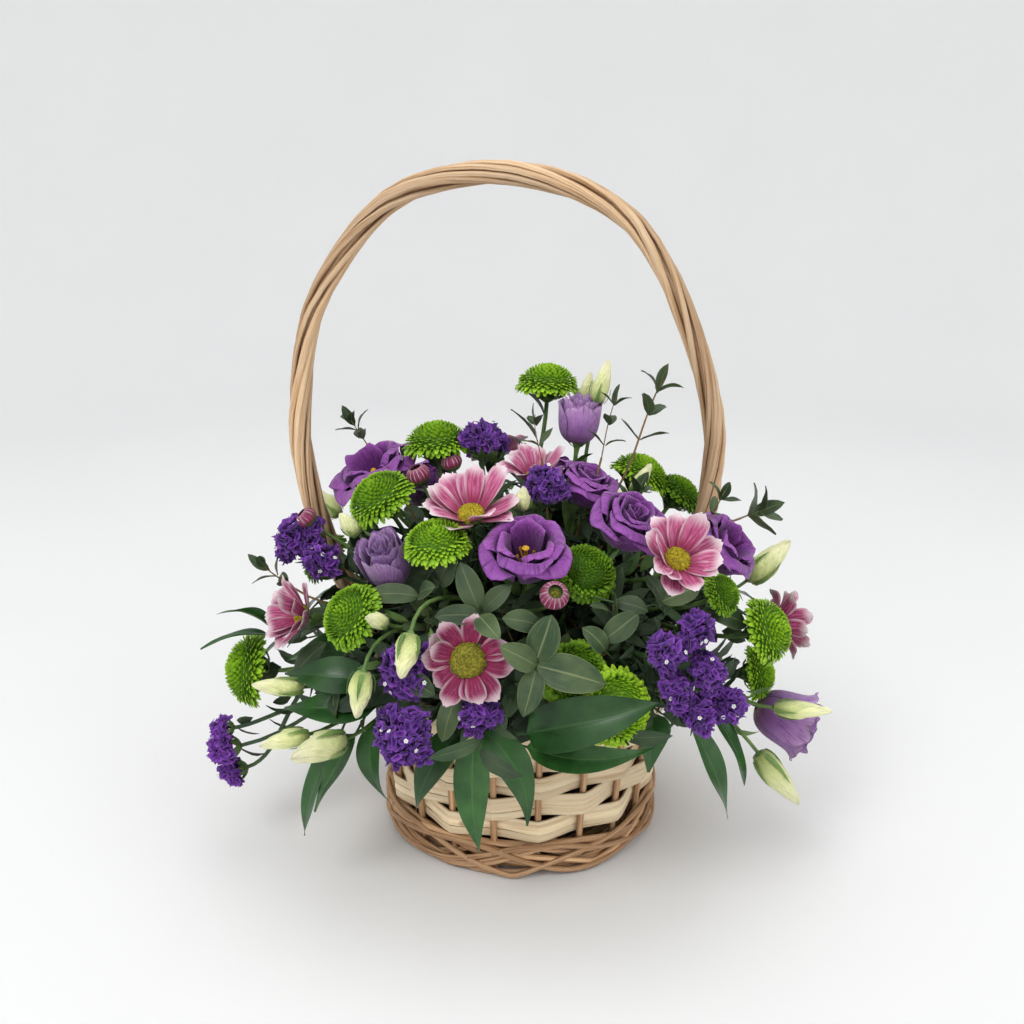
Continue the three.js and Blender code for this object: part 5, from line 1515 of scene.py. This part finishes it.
def filler(name, low, high, seed, count, lowest, spots):
    """Dark foliage between the flowers: leafy twigs that fan out of the foam between two bearings."""
    chance = random.Random(seed)
    parts = []
    for k in range(count):
        bearing = low + (high - low) * (k + chance.random()) / count
        rise = chance.choice((2, 8, 15, 22, 32, 42, 52, 64, 78)) + chance.uniform(-6, 6)
        reach = 150 * chance.uniform(0.72, 1.0) * (1 + 0.12 * math.cos(math.radians(rise)))
        foot = place(bearing, chance.uniform(20, 62), FOAM_TOP - 2)
        tip = DOME_MIDDLE + heading(bearing, rise) * reach * MM
        if tip.z < (lowest + 8) * MM:
            tip.z = (lowest + chance.uniform(0, 18)) * MM
        if not is_clear(tip, spots):
            tip = foot.lerp(tip, 0.75)
        middle = foot.lerp(tip, 0.5) + UP * 10 * MM
        parts.append((twig([foot, middle, tip], 1.2, 0.7, 6, 5), DARK_STEM, 0.4))
        for j in range(9):
            share = 0.38 + 0.62 * j / 8
            root = foot.lerp(middle, share * 2) if share < 0.5 else middle.lerp(tip, share * 2 - 1)
            axis = (tip - foot).normalized()
            side = heading(chance.uniform(0, 360), chance.uniform(-30, 40))
            side = (side - axis * side.dot(axis)).normalized()
            size = chance.uniform(20, 34)
            end = root + (axis * chance.uniform(0.4, 0.9) + side).normalized() * size * MM
            width, tone = size * chance.uniform(0.24, 0.4), chance.uniform(0.1, 0.75)
            if is_clear(end, spots) and is_clear((root + end) / 2, spots):
                up = (axis - side * 0.4).normalized()
                parts.append((leaf(root, end, up, width, 2.0, 0.25, (2, 5), "oval"), FILLER_LEAF, tone))
    assemble(name, parts)


# ------------------------------------------------------------------ stage, light and camera


def studio():
    """A round sweep of pale paper, large soft lights and the camera."""
    bpy.ops.object.select_all(action="DESELECT")
    bpy.ops.mesh.primitive_circle_add(vertices=96, radius=1.5, fill_type="NGON", location=(0, 0, -0.0006))
    floor = bpy.context.active_object
    floor.name = "paper_sweep"
    bpy.ops.object.mode_set(mode="EDIT")
    bpy.ops.mesh.select_all(action="SELECT")
    for k in range(10):
        start, end = k / 10 * math.pi / 2, (k + 1) / 10 * math.pi / 2
        before = 1.5 + 1.0 * math.sin(start)
        after = 1.5 + 1.0 * math.sin(end)
        rise = math.cos(start) - math.cos(end)
        bpy.ops.mesh.extrude_region_move(TRANSFORM_OT_translate={"value": (0, 0, rise)})
        bpy.ops.transform.resize(value=(after / before, after / before, 1))
    bpy.ops.mesh.extrude_region_move(TRANSFORM_OT_translate={"value": (0, 0, 2.2)})
    bpy.ops.mesh.delete(type="ONLY_FACE")
    bpy.ops.object.mode_set(mode="OBJECT")
    bpy.ops.object.shade_smooth()
    paper = Finish("paper", 0.9, specular_ior_level=0.1)
    fibre = paper.noise(paper.place(), 3.0, 1.0)
    paper.colour(paper.mix(fibre, (0.87, 0.87, 0.87), (0.90, 0.90, 0.895)))
    floor.data.materials.append(paper.material)
    world = bpy.data.worlds.new("studio")
    world.use_nodes = True
    world.node_tree.nodes["Background"].inputs[0].default_value = (0.97, 0.98, 1.0, 1)
    world.node_tree.nodes["Background"].inputs[1].default_value = 0.72
    bpy.context.scene.world = world
    for name, location, size, power in (
        ("key_light", (-0.9, -1.2, 1.7), 0.9, 13.4), ("fill_light", (1.2, -1.0, 1.2), 1.2, 5.5),
        ("top_light", (0.0, 0.2, 2.3), 1.5, 10),
    ):
        bpy.ops.object.light_add(type="AREA", location=location)
        light = bpy.context.active_object
        light.name = name
        light.data.shape = "DISK"
        light.data.size = size
        light.data.energy = power
        light.rotation_euler = (Vector((0, 0, 0.15)) - Vector(location)).to_track_quat("-Z", "Y").to_euler()
    bpy.ops.object.camera_add(location=(-0.0064, -0.677, 0.439), rotation=(math.radians(90 - 17.52), 0, 0))
    camera = bpy.context.active_object
    camera.data.lens = 36
    camera.data.sensor_width = 36
    camera.data.clip_end = 50
    bpy.context.scene.camera = camera
    bpy.context.scene.view_settings.view_transform = "Standard"


# ------------------------------------------------------------------ the arrangement

studio()
basket()
handle()
liner()
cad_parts["foam"].material_slots[0].material = FOAM
for build, plan in (
    (lisianthus, LISIANTHUS), (daisy, DAISIES), (lisianthus_stems, LISIANTHUS_STEMS), (daisy_stems, DAISY_STEMS),
    (santini_spray, SANTINI), (statice_spray, STATICE), (ruscus_spray, RUSCUS), (eucalyptus_spray, EUCALYPTUS),
):
    for entry in plan:
        build(entry)
spots = kept_clear()
for k, (name, count, lowest) in enumerate(FILLER):
    filler(f"filler_foliage_{name}", k * 90 - 45, k * 90 + 45, 300 + k, count, lowest, spots)
